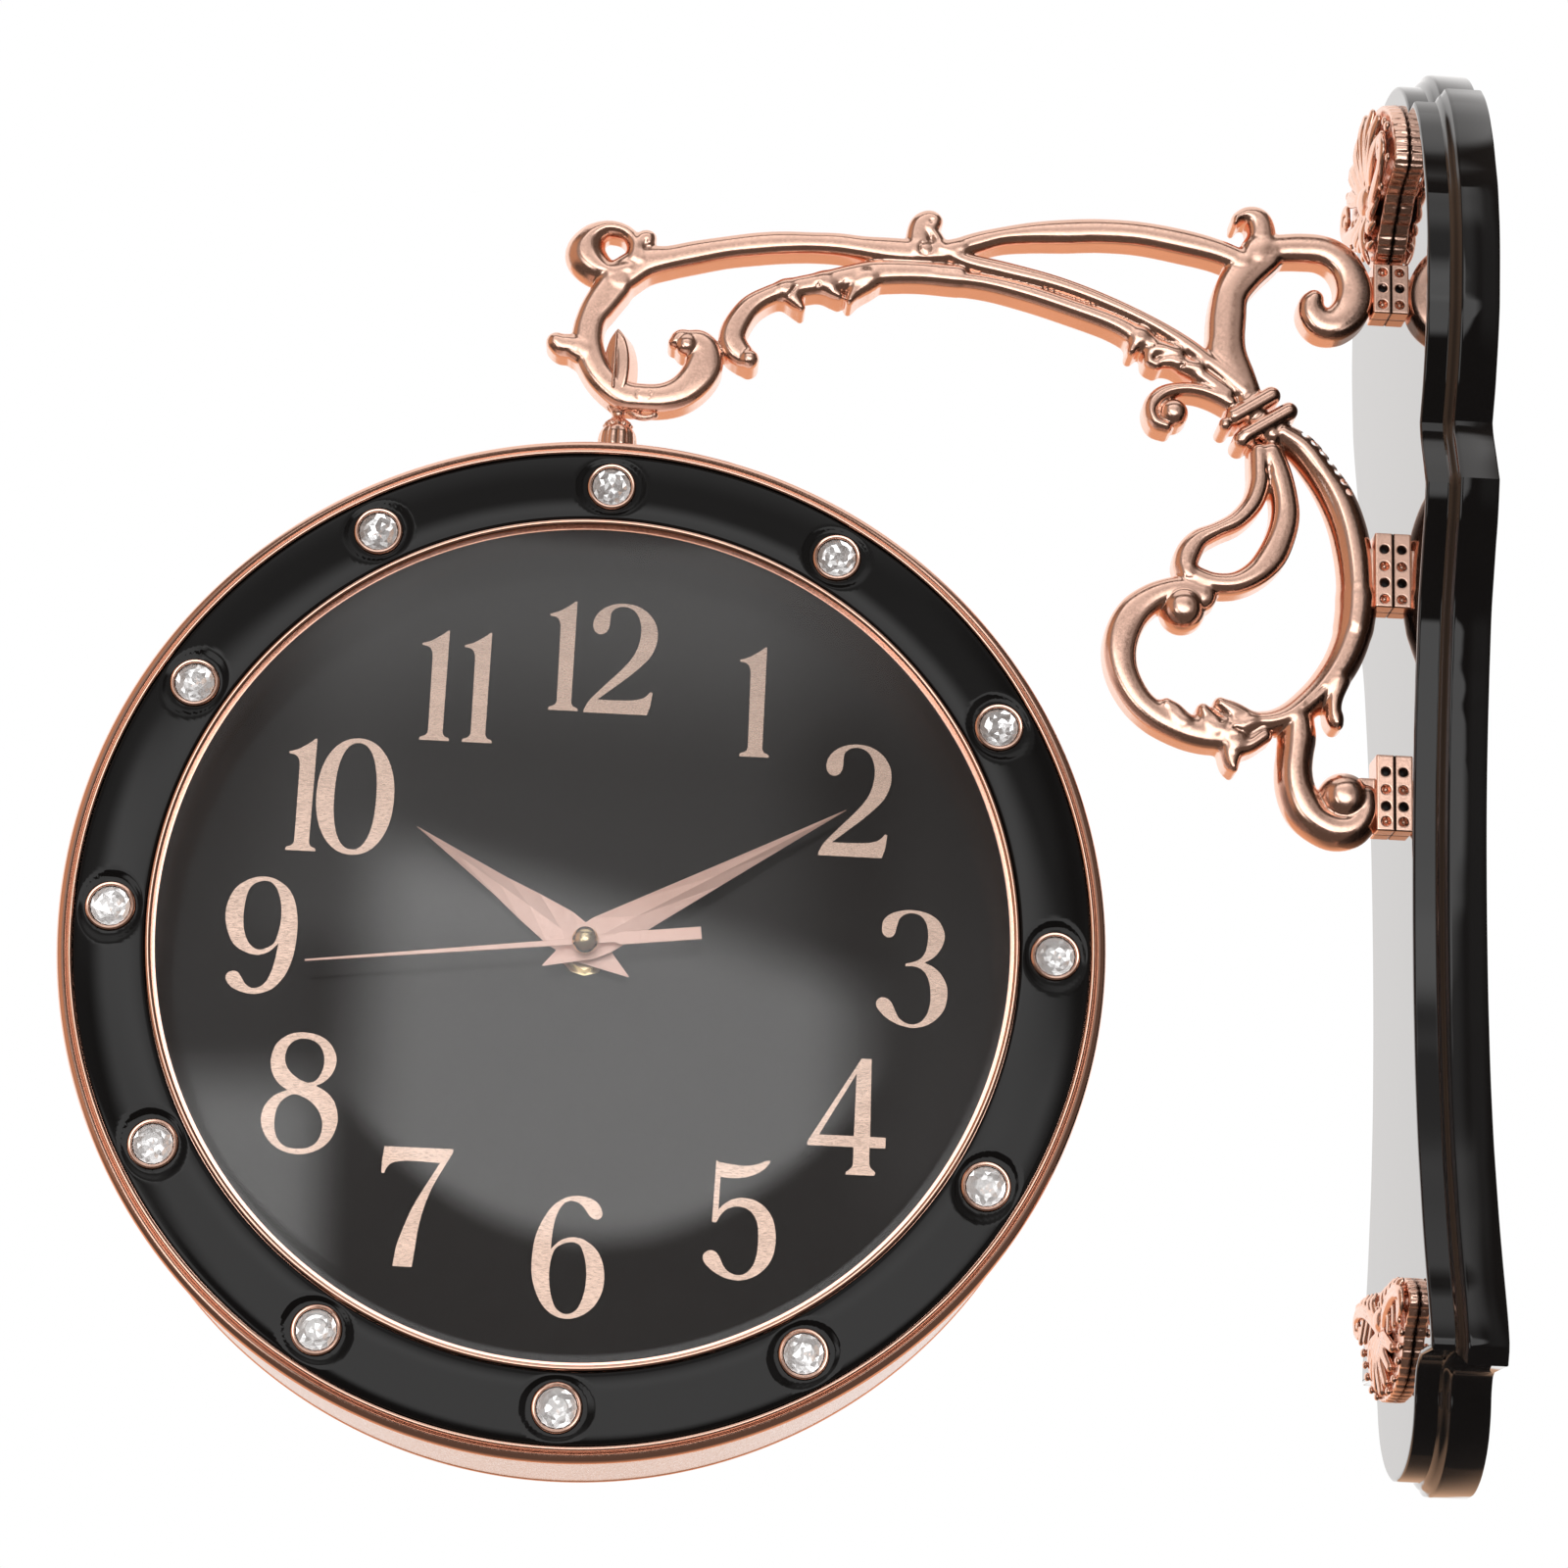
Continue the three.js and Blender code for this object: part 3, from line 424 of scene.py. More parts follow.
class Field:
    """A signed distance field on a grid, in mm, negative inside."""

    def __init__(self, lo, hi, h):
        self.lo = np.array(lo, float)
        self.h = h
        self.n = np.ceil((np.array(hi, float) - self.lo) / h).astype(int) + 1
        self.ax = [self.lo[i] + h * np.arange(self.n[i]) for i in range(3)]
        self.F = np.full(self.n, 5.0, np.float32)

    def window(self, lo, hi):
        s = []
        for i in range(3):
            a = int(max(0, math.floor((lo[i] - self.lo[i]) / self.h)))
            b = int(min(self.n[i], math.ceil((hi[i] - self.lo[i]) / self.h) + 1))
            if b <= a:
                return None
            s.append(slice(a, b))
        g = [self.ax[i][s[i]].astype(np.float32) for i in range(3)]
        return tuple(s), g[0][:, None, None], g[1][None, :, None], g[2][None, None, :]

    def join(self, s, d, k=0.0):
        a = self.F[s]
        if k > 0:
            m = np.maximum(k - np.abs(a - d), 0) / k
            self.F[s] = np.minimum(a, d) - m * m * k * 0.25
        else:
            self.F[s] = np.minimum(a, d)

    def carve(self, s, d, k=0.0):
        a = self.F[s]
        if k > 0:
            m = np.maximum(k - np.abs(a + d), 0) / k
            self.F[s] = np.maximum(a, -d) + m * m * k * 0.25
        else:
            self.F[s] = np.maximum(a, -d)

    def ball(self, c, r, k=0.0, carve=False, scale=(1, 1, 1)):
        pad = max(r * max(scale), r) + 2 + k
        w = self.window([c[i] - pad for i in range(3)], [c[i] + pad for i in range(3)])
        if w is None:
            return
        s, X, Y, Z = w
        sm = min(scale)
        d = (np.sqrt(((X - c[0]) / scale[0]) ** 2 + ((Y - c[1]) / scale[1]) ** 2 + ((Z - c[2]) / scale[2]) ** 2) - r) * sm
        (self.carve if carve else self.join)(s, d, k)

    def rod(self, a, b, ra, rb=None, k=0.0, carve=False):
        rb = ra if rb is None else rb
        a, b = np.array(a, float), np.array(b, float)
        pad = max(ra, rb) + 2 + k
        w = self.window(np.minimum(a, b) - pad, np.maximum(a, b) + pad)
        if w is None:
            return
        s, X, Y, Z = w
        d = b - a
        L = float(d @ d) or 1e-9
        t = np.clip(((X - a[0]) * d[0] + (Y - a[1]) * d[1] + (Z - a[2]) * d[2]) / L, 0, 1)
        q = np.sqrt((X - a[0] - t * d[0]) ** 2 + (Y - a[1] - t * d[1]) ** 2 + (Z - a[2] - t * d[2]) ** 2) - (ra + (rb - ra) * t)
        (self.carve if carve else self.join)(s, q, k)

    def path(self, pts, k=0.0, carve=False, step=0.8):
        """pts: [x, y, z, r]"""
        p = np.array(pts, float)
        q = np.vstack([2 * p[0] - p[1], p, 2 * p[-1] - p[-2]])
        dense = []
        for i in range(1, len(q) - 2):
            p0, p1, p2, p3 = q[i - 1], q[i], q[i + 1], q[i + 2]
            n = max(2, int(np.ceil(np.linalg.norm((p2 - p1)[:3]) / step)))
            for j in range(n):
                t = j / n
                dense.append(0.5 * ((2 * p1) + (-p0 + p2) * t + (2 * p0 - 5 * p1 + 4 * p2 - p3) * t * t
                                    + (-p0 + 3 * p1 - 3 * p2 + p3) * t ** 3))
        dense.append(p[-1])
        dense = np.array(dense)
        pad = float(dense[:, 3].max()) + 2 + k
        w = self.window(dense[:, :3].min(0) - pad, dense[:, :3].max(0) + pad)
        if w is None:
            return
        s, X, Y, Z = w
        best = np.full(np.broadcast(X, Y, Z).shape, 9.0, np.float32)
        for u, v in zip(dense[:-1], dense[1:]):
            pd = max(u[3], v[3]) + 2 + k
            sub = []
            for i, A in enumerate((X.ravel(), Y.ravel(), Z.ravel())):
                lo, hi = min(u[i], v[i]) - pd, max(u[i], v[i]) + pd
                sub.append(slice(int(np.searchsorted(A, lo)), int(np.searchsorted(A, hi))))
            xs, ys, zs = X[sub[0]], Y[:, sub[1]], Z[:, :, sub[2]]
            d = (v - u)[:3]
            L = float(d @ d) or 1e-9
            t = np.clip(((xs - u[0]) * d[0] + (ys - u[1]) * d[1] + (zs - u[2]) * d[2]) / L, 0, 1)
            e = np.sqrt((xs - u[0] - t * d[0]) ** 2 + (ys - u[1] - t * d[1]) ** 2 + (zs - u[2] - t * d[2]) ** 2) - (u[3] + (v[3] - u[3]) * t)
            b = best[tuple(sub)]
            np.minimum(b, e, out=b)
        (self.carve if carve else self.join)(s, best, k)

    def box(self, lo, hi, r=0.3, k=0.0, carve=False):
        lo, hi = np.array(lo, float), np.array(hi, float)
        w = self.window(lo - 2 - k, hi + 2 + k)
        if w is None:
            return
        s, X, Y, Z = w
        q = [np.abs(A - (lo[i] + hi[i]) / 2) - (hi[i] - lo[i]) / 2 + r for i, A in enumerate((X, Y, Z))]
        out = np.sqrt(np.maximum(q[0], 0) ** 2 + np.maximum(q[1], 0) ** 2 + np.maximum(q[2], 0) ** 2)
        ins = np.minimum(np.maximum(np.maximum(q[0], q[1]), q[2]), 0)
        (self.carve if carve else self.join)(s, out + ins - r, k)

    def mesh(self, relax=3):
        """Surface nets, with a few rounds of relaxing."""
        F = self.F
        ins = F < 0
        nx, ny, nz = F.shape
        cnt = np.zeros((nx - 1, ny - 1, nz - 1), np.int8)
        for i in (0, 1):
            for j in (0, 1):
                for k in (0, 1):
                    cnt += ins[i:nx - 1 + i, j:ny - 1 + j, k:nz - 1 + k]
        cells = np.argwhere((cnt > 0) & (cnt < 8))
        ids = -np.ones(cnt.shape, np.int32)
        ids[tuple(cells.T)] = np.arange(len(cells))
        pos = np.zeros((len(cells), 3))
        num = np.zeros(len(cells))
        corners = [(i, j, k) for i in (0, 1) for j in (0, 1) for k in (0, 1)]
        for a in corners:
            for ax in range(3):
                if a[ax]:
                    continue
                b = list(a)
                b[ax] = 1
                fa = F[tuple((cells + a).T)]
                fb = F[tuple((cells + b).T)]
                m = (fa < 0) != (fb < 0)
                t = np.where(m, fa / np.where(m, fa - fb, 1), 0)
                p = np.array(a, float)[None, :] + np.zeros((len(cells), 3))
                p[:, ax] += t
                pos += np.where(m[:, None], p, 0)
                num += m
        pos = pos / num[:, None] + cells
        quads = []
        for ax in range(3):
            o1, o2 = [i for i in range(3) if i != ax]
            sl0 = [slice(None)] * 3
            sl1 = [slice(None)] * 3
            sl0[ax] = slice(0, -1)
            sl1[ax] = slice(1, None)
            for o in (o1, o2):
                sl0[o] = slice(1, -1)
                sl1[o] = slice(1, -1)
            A, B = ins[tuple(sl0)], ins[tuple(sl1)]
            for flip, mask in ((False, A & ~B), (True, ~A & B)):
                e = np.argwhere(mask)
                if not len(e):
                    continue
                base = e.copy()
                base[:, o1] += 1
                base[:, o2] += 1
                c = []
                for d1, d2 in ((-1, -1), (0, -1), (0, 0), (-1, 0)):
                    q = base.copy()
                    q[:, o1] += d1
                    q[:, o2] += d2
                    c.append(ids[tuple(q.T)])
                c = np.stack(c, 1)
                even = ax != 1
                if flip == even:
                    c = c[:, ::-1]
                quads.append(c)
        quads = np.concatenate(quads)
        v = pos
        if relax:
            n = len(v)
            ea = np.concatenate([quads[:, i] for i in range(4)])
            eb = np.concatenate([quads[:, (i + 1) % 4] for i in range(4)])
            deg = np.bincount(ea, minlength=n) + np.bincount(eb, minlength=n)
            for it in range(relax * 2):
                acc = np.stack([np.bincount(ea, v[eb, i], n) + np.bincount(eb, v[ea, i], n) for i in range(3)], 1)
                lam = 0.5 if it % 2 == 0 else -0.52
                v = v + lam * (acc / deg[:, None] - v)
        return v * self.h + self.lo, quads


# ------------------------------------------------------------------ bracket strokes [x, z, half width]
STROKES = {
    "upper_left_beam": [[-235.3, 126.4, 4.8], [-229.1, 130.8, 4.4], [-222.0, 132.5, 3.5], [-214.7, 134.5, 3.4], [-206.0, 136.6, 3.2], [-197.3, 138.2, 3.3], [-190.0, 139.1, 3.2], [-182.6, 139.5, 3.0], [-175.2, 139.6, 3.1], [-167.9, 139.0, 3.2], [-160.5, 138.6, 3.6], [-153.1, 138.5, 3.6], [-147.2, 138.8, 3.4], [-141.3, 139.6, 3.3]],
    "crown_curl": [[-233.5, 128.3, 3.0], [-237.7, 127.4, 3.8], [-242.2, 129.1, 5.0], [-245.3, 133.0, 5.6], [-244.2, 137.6, 4.2], [-240.6, 140.3, 2.7], [-236.7, 140.4, 2.3], [-233.4, 138.8, 2.1], [-231.7, 135.5, 2.2], [-232.1, 131.7, 2.3]],
    "crown_leaf": [[-230.4, 131.6, 2.4], [-230.9, 134.9, 2.4], [-229.7, 137.6, 2.3], [-228.0, 138.3, 1.9], [-227.9, 136.4, 1.6]],
    "loop": [[-236.9, 123.5, 4.7], [-240.1, 118.5, 4.5], [-242.5, 113.9, 4.0], [-243.5, 108.6, 4.1], [-242.8, 103.2, 4.1], [-240.5, 98.0, 3.9], [-237.0, 94.0, 3.9], [-232.6, 91.1, 4.0], [-228.0, 90.6, 3.8], [-222.2, 90.9, 3.9], [-217.2, 92.8, 4.3], [-213.3, 96.5, 4.7], [-211.0, 101.0, 5.0], [-210.9, 105.0, 4.3], [-212.5, 107.4, 3.8], [-215.2, 108.7, 2.4], [-217.9, 109.0, 2.0], [-219.3, 107.3, 1.6]],
    "loop_spur": [[-245.3, 103.6, 3.6], [-248.1, 104.7, 3.2], [-250.4, 104.8, 3.1], [-252.0, 105.6, 2.6]],
    "lower_left_beam": [[-141.1, 131.8, 3.2], [-152.9, 132.2, 3.2], [-164.0, 131.5, 3.5], [-171.3, 129.8, 3.4], [-178.4, 127.8, 3.1], [-187.3, 125.5, 2.8], [-193.9, 122.9, 2.6], [-198.9, 119.3, 3.0], [-202.3, 113.9, 3.4], [-203.4, 109.6, 3.6], [-202.2, 106.5, 3.6], [-200.1, 104.4, 3.1]],
    "tooth_1": [[-189.0, 125.0, 2.8], [-186.6, 121.9, 2.1], [-184.6, 119.4, 0.9]],
    "tooth_2": [[-178.5, 127.8, 2.8], [-176.2, 125.2, 2.0], [-174.2, 123.6, 1.0]],
    "tooth_3": [[-166.5, 129.0, 3.2], [-169.6, 125.6, 2.1], [-171.2, 122.4, 0.9]],
    "rail_upper": [[-144.6, 138.8, 2.1], [-138.1, 136.3, 2.4], [-127.5, 134.2, 2.5], [-113.7, 131.2, 2.3], [-100.7, 126.9, 2.2], [-87.7, 121.3, 2.1], [-77.2, 115.3, 2.3], [-68.2, 108.5, 2.3], [-60.9, 102.5, 2.4]],
    "rail_lower": [[-147.7, 131.3, 2.2], [-133.9, 130.4, 2.2], [-121.7, 128.0, 2.4], [-109.6, 124.5, 2.4], [-97.4, 120.5, 2.5], [-89.3, 116.2, 2.7], [-81.2, 111.5, 2.5], [-73.0, 106.4, 2.4], [-65.0, 100.9, 2.4]],
    "mid_curl": [[-151.7, 139.0, 3.3], [-152.3, 142.7, 3.4], [-151.6, 146.9, 3.1], [-149.5, 148.9, 2.3], [-147.8, 148.3, 1.9], [-148.2, 146.6, 1.6]],
    "mid_curl_foot": [[-145.8, 139.6, 1.8], [-147.3, 142.8, 1.9], [-149.6, 145.9, 1.9]],
    "arc": [[-143.6, 139.6, 2.6], [-136.1, 142.5, 2.8], [-128.8, 144.8, 2.6], [-119.8, 146.4, 3.1], [-110.8, 147.3, 3.5], [-101.0, 148.1, 3.5], [-89.5, 147.9, 3.5], [-77.2, 146.1, 3.6], [-68.3, 144.1, 3.4], [-61.1, 141.4, 3.3]],
    "duck_curl": [[-57.0, 143.8, 4.0], [-55.3, 149.4, 3.8], [-56.3, 154.1, 3.5], [-59.4, 155.6, 2.3], [-62.2, 154.4, 1.4], [-63.1, 152.5, 0.7]],
    "stem": [[-55.3, 143.8, 5.6], [-60.4, 137.7, 5.2], [-63.9, 131.5, 4.8], [-64.9, 124.6, 5.1], [-65.2, 117.6, 5.1], [-65.0, 112.5, 5.6], [-62.4, 106.8, 5.1], [-59.6, 102.3, 3.9]],
    "c_scroll": [[-56.2, 144.8, 4.8], [-50.4, 145.9, 4.2], [-44.0, 146.5, 4.3], [-38.0, 146.2, 4.3], [-33.1, 143.6, 4.5], [-30.1, 139.1, 4.7], [-28.9, 133.7, 5.1], [-30.2, 128.4, 5.1], [-33.9, 124.7, 4.8], [-37.9, 124.2, 4.5], [-40.6, 126.7, 4.0], [-41.1, 129.4, 3.4], [-40.4, 131.2, 2.6]],
    "small_scroll": [[-64.1, 98.3, 2.2], [-68.2, 100.3, 2.1], [-73.0, 101.6, 1.9], [-77.8, 101.7, 1.9], [-82.4, 100.4, 2.1], [-85.4, 97.6, 2.2], [-86.2, 94.4, 1.9], [-84.8, 91.4, 1.8], [-81.9, 90.2, 1.5]],
    "leaf_a": [[-89.3, 117.0, 2.6], [-90.7, 114.6, 2.1], [-92.0, 112.0, 1.1]],
    "leaf_b": [[-78.7, 112.5, 1.9], [-83.6, 113.1, 1.9], [-86.4, 112.1, 1.9], [-86.9, 109.5, 1.6], [-85.1, 108.2, 1.2]],
    "leaf_c": [[-73.1, 108.4, 2.1], [-77.1, 108.1, 1.8], [-80.3, 109.2, 1.6], [-83.5, 109.3, 1.3]],
    "tear_left": [[-55.9, 84.3, 2.7], [-55.7, 80.3, 2.8], [-55.8, 74.8, 2.8], [-57.7, 69.1, 2.7], [-61.9, 64.0, 2.5], [-67.3, 60.8, 2.2], [-72.3, 58.0, 2.7], [-75.0, 54.3, 3.3], [-76.1, 50.5, 3.2], [-75.6, 47.2, 2.6]],
    "tear_right": [[-52.5, 84.2, 3.3], [-50.4, 78.5, 3.5], [-48.8, 72.1, 3.5], [-48.4, 66.0, 3.7], [-49.7, 59.9, 3.8], [-52.3, 54.0, 3.9], [-56.4, 49.1, 3.4], [-61.8, 45.9, 3.0], [-67.5, 45.3, 2.9], [-72.1, 46.3, 3.1], [-75.3, 47.8, 3.2]],
    "limb": [[-49.3, 90.4, 3.6], [-43.4, 86.5, 4.4], [-38.3, 79.8, 4.6], [-33.7, 72.3, 5.1], [-30.8, 64.6, 5.2], [-29.2, 56.9, 5.2], [-28.5, 49.9, 5.1], [-28.4, 42.3, 5.1], [-29.0, 35.9, 5.0]],
    "limb_low": [[-28.1, 43.3, 5.2], [-28.5, 38.5, 5.0], [-30.0, 31.3, 4.9], [-32.9, 24.3, 4.7], [-37.4, 17.7, 4.3], [-42.3, 12.5, 4.0], [-47.0, 8.7, 3.7], [-51.8, 6.7, 3.3], [-57.1, 5.9, 3.1], [-62.4, 3.3, 3.6]],
    "limb_spur": [[-33.4, 18.9, 2.4], [-35.0, 14.3, 2.2], [-35.3, 10.8, 2.0], [-34.9, 8.4, 2.2], [-34.5, 6.8, 1.7]],
    "c_low": [[-71.8, 41.6, 4.2], [-76.9, 43.2, 3.4], [-81.3, 42.2, 3.5], [-85.8, 39.9, 3.8], [-90.0, 36.0, 4.3], [-92.8, 30.6, 4.5], [-93.8, 24.9, 4.3], [-93.1, 19.4, 4.0], [-91.0, 14.4, 3.8], [-87.8, 9.9, 3.6], [-83.6, 6.6, 3.7], [-78.9, 4.2, 3.7], [-73.6, 2.7, 4.0], [-67.8, 2.2, 4.2], [-62.4, 3.3, 4.3]],
    "bump_1": [[-76.6, 5.3, 2.6], [-78.8, 8.0, 2.2], [-81.0, 9.7, 1.6]],
    "bump_2": [[-67.4, 4.1, 3.0], [-69.8, 6.8, 2.4], [-71.0, 8.6, 1.7]],
    "bump_3": [[-59.2, 6.1, 3.3], [-62.8, 8.7, 2.6], [-66.3, 10.6, 1.7]],
    "drip": [[-62.6, 1.4, 3.6], [-63.2, -2.4, 3.0], [-63.2, -5.6, 2.1], [-62.7, -7.4, 1.0]],
    "drip_side": [[-62.4, -1.0, 2.5], [-58.6, -0.6, 2.1], [-54.4, 2.4, 2.1]],
    "low_stem": [[-44.9, 7.0, 4.75], [-44.8, 3.0, 5.05], [-45.3, -1.5, 4.85], [-45.7, -6.7, 4.95], [-45.0, -12.0, 5.25], [-42.8, -17.0, 5.55], [-39.6, -20.6, 5.15], [-34.7, -22.6, 5.25], [-30.0, -21.7, 4.95], [-26.8, -17.7, 4.45], [-26.4, -13.4, 3.95]],
    "neck": [[-59.4, 99.2, 3.0], [-56.4, 94.3, 3.4], [-52.2, 89.6, 3.0]],
    "ring_1": [[-63.1, 94.0, 2.4], [-52.7, 100.9, 2.4]],
    "ring_2": [[-59.7, 88.7, 2.3], [-47.8, 96.6, 2.3]],
}
BALLS = {
    "loop_ball": [-216.0, 106.5, 3.2],
    "beam_ball": [-198.5, 103.3, 2.8],
    "small_ball": [-79.9, 94.6, 4.2],
    "low_ball": [-76.6, 37.6, 6.3],
    "foot_ball": [-32.1, -13.7, 7.2],
    "ring_end_1": [-65.6, 91.4, 1.9],
    "ring_end_2": [-60.9, 87.4, 2.5],
}

H = 0.45
DEPTH = 5.5

# edge rounding by stroke; the others have a flat near face with a soft edge
ROUND = {"crown_curl": 4.4, "crown_leaf": 1.4, "loop_spur": 2.2, "c_scroll": 2.1, "low_stem": 3.9, "stem": 2.0, "limb": 4.5,
         "limb_low": 4.0, "limb_spur": 1.7, "tear_left": 2.1, "tear_right": 2.1, "ring_1": 2.2, "ring_2": 2.2,
         "duck_curl": 1.9, "mid_curl": 1.7, "small_scroll": 1.9, "loop": 1.5, "c_low": 2.1, "neck": 2.6, "drip": 2.2,
         "bump_1": 1.8, "bump_2": 2.0, "bump_3": 2.0, "tooth_1": 1.5, "tooth_2": 1.5, "tooth_3": 1.7, "arc": 1.5,
         "upper_left_beam": 1.15, "lower_left_beam": 1.2, "rail_upper": 1.2, "rail_lower": 1.25}


CONVEX = {"limb": 1.3, "limb_low": 1.2, "low_stem": 1.4, "crown_curl": 1.3, "tear_left": 0.9, "tear_right": 0.9, "c_scroll": 1.0,
          "stem": 0.9, "duck_curl": 0.9, "c_low": 0.8, "arc": 0.7, "loop": 0.6, "small_scroll": 0.8, "neck": 0.8}


def relief(f, s, Y, D, W, depth, rmax, crown, k):
    """Stand a flat outline up to its depth on both sides, with rounded shoulders and a slightly convex face."""
    r = np.minimum(W * 0.92, rmax)[:, None, :]
    t = np.clip(1 + D / W, 0, 1)[:, None, :]
    q1 = D[:, None, :] + r
    q2 = np.abs(Y) - depth + crown * t * t + r
    val = np.minimum(np.maximum(q1, q2), 0) + np.hypot(np.maximum(q1, 0), np.maximum(q2, 0)) - r
    f.join(s, val, k)


def button(f, x, z, r, depth, rmax, crown, k):
    w = f.window([x - r - 2.5, -9, z - r - 2.5], [x + r + 2.5, 9, z + r + 2.5])
    s, X, Y, Z = w
    D = np.hypot(X - x, Z - z)[:, 0, :] - r
    relief(f, s, Y, D, np.full_like(D, r), depth, rmax, crown, k)


def stroke_field(f, pts, depth=DEPTH, rmax=1.6, k=0.7, crown=0.5):
    d = spline(pts, 0.7)
    pad = float(d[:, 2].max()) + 2.5
    w = f.window([d[:, 0].min() - pad, -9, d[:, 1].min() - pad], [d[:, 0].max() + pad, 9, d[:, 1].max() + pad])
    s, X, Y, Z = w
    X2, Z2 = X[:, 0, :], Z[:, 0, :]
    D = np.full((X2.shape[0], Z2.shape[1]), 9.0, np.float32)
    W = np.ones_like(D)
    xs, zs = X2.ravel(), Z2.ravel()
    for u, v in zip(d[:-1], d[1:]):
        pd = max(u[2], v[2]) + 2.5
        a = slice(int(np.searchsorted(xs, min(u[0], v[0]) - pd)), int(np.searchsorted(xs, max(u[0], v[0]) + pd)))
        b = slice(int(np.searchsorted(zs, min(u[1], v[1]) - pd)), int(np.searchsorted(zs, max(u[1], v[1]) + pd)))
        gx, gz = X2[a], Z2[:, b]
        dx, dz = v[0] - u[0], v[1] - u[1]
        L = dx * dx + dz * dz or 1e-9
        t = np.clip(((gx - u[0]) * dx + (gz - u[1]) * dz) / L, 0, 1)
        wv = u[2] + (v[2] - u[2]) * t + 0.3
        e = np.hypot(gx - u[0] - t * dx, gz - u[1] - t * dz) - wv
        old = D[a, b]
        better = e < old
        D[a, b] = np.where(better, e, old)
        W[a, b] = np.where(better, wv, W[a, b])
    relief(f, s, Y, D, W, depth, rmax, crown, k)


def bracket():
    f = Field((-257, -8.1, -29), (-17.0, 8.1, 159), H)
    for name, pts in STROKES.items():
        depth = 6.6 if name.startswith("ring") else DEPTH
        stroke_field(f, pts, depth, max(2.0, ROUND.get(name, 2.0)),
                     0.35 if name.startswith("rail") else 1.5 if name[:5] in ("tooth", "leaf_", "bump_", "drip", "drip_", "limb_") else 0.8,
                     CONVEX.get(name, 0.5))
    for name, (x, z, r) in BALLS.items():
        button(f, x, z, r, 6.9 if r > 6 else 6.3, r * 0.62, r * 0.26, 0.5)
    limb = spline([[-47.9, 86.2, 0], [-43.9, 82.3, 0], [-39.4, 77.0, 0], [-36.1, 70.9, 0], [-33.9, 64.0, 0],
                   [-32.5, 56.7, 0], [-32.0, 49.8, 0], [-32.0, 43.0, 0], [-32.5, 37.0, 0], [-33.9, 31.0, 0],
                   [-36.2, 25.2, 0], [-39.5, 19.4, 0], [-43.6, 14.2, 0]], 1.0)
    edge = spline([[-45.2, 91.2, 0], [-40.8, 87.2, 0], [-36.4, 81.9, 0], [-33.4, 76.9, 0], [-31.4, 72.6, 0]], 0.5)
    for m in (1, -1):
        # the limb carries a groove a little off its middle
        n = len(limb)
        for i, (a, b) in enumerate(zip(limb[:-1], limb[1:])):
            r = 0.7 * min(1.0, (n - i) / 12, (i + 3) / 8)
            f.rod((a[0], -5.6 * m, a[1]), (b[0], -5.6 * m, b[1]), r, r, 0.5, carve=True)
        # the two upper strands of the tear part at a slit
        f.rod((-53.9, -7.0 * m, 84.0), (-53.4, -5.4 * m, 78.5), 0.7, 0.9, 0.4, carve=True)
        # creases between the lobes of the small leaves
        for a, b in (((-188.2, 122.6), (-186.4, 125.3)), ((-181.2, 122.0), (-180.2, 126.4)), ((-173.6, 124.2), (-172.6, 128.0)),
                     ((-76.0, 8.8), (-73.6, 5.2)), ((-68.4, 9.4), (-66.2, 5.4)), ((-88.6, 112.6), (-86.2, 113.6)),
                     ((-80.4, 106.4), (-77.6, 108.4)), ((-58.9, 2.0), (-62.8, 3.6)), ((-43.0, 11.6), (-38.2, 16.4))):
            f.rod((a[0], -6.0 * m, a[1]), (b[0], -5.6 * m, b[1]), 0.6, 0.35, 0.4, carve=True)
        # dimple rings left by the ejector pins
        for cx, cz, rad in ((-150.4, 139.1, 1.9), (-227.1, 90.6, 1.9)):
            for i in range(28):
                a0, a1 = i * math.pi / 14, (i + 1) * math.pi / 14
                f.rod((cx + rad * math.cos(a0), -5.8 * m, cz + rad * math.sin(a0)),
                      (cx + rad * math.cos(a1), -5.8 * m, cz + rad * math.sin(a1)), 0.42, 0.42, 0.1, carve=True)
    # rope twist on the outer strand below the rings
    for i in range(3, len(edge) - 2, 7):
        a = edge[i]
        f.rod((a[0] + 1.0, -7.5, a[1] - 0.6), (a[0] + 1.0, 7.5, a[1] + 1.6), 1.0, 1.0, 0.35, carve=True)
    return f.mesh(3)


bv, bq = bracket()
make("bracket_casting", bv, bq, ROSE, "wall_bracket", True, ("bracket_near_half", "bracket_far_half"))

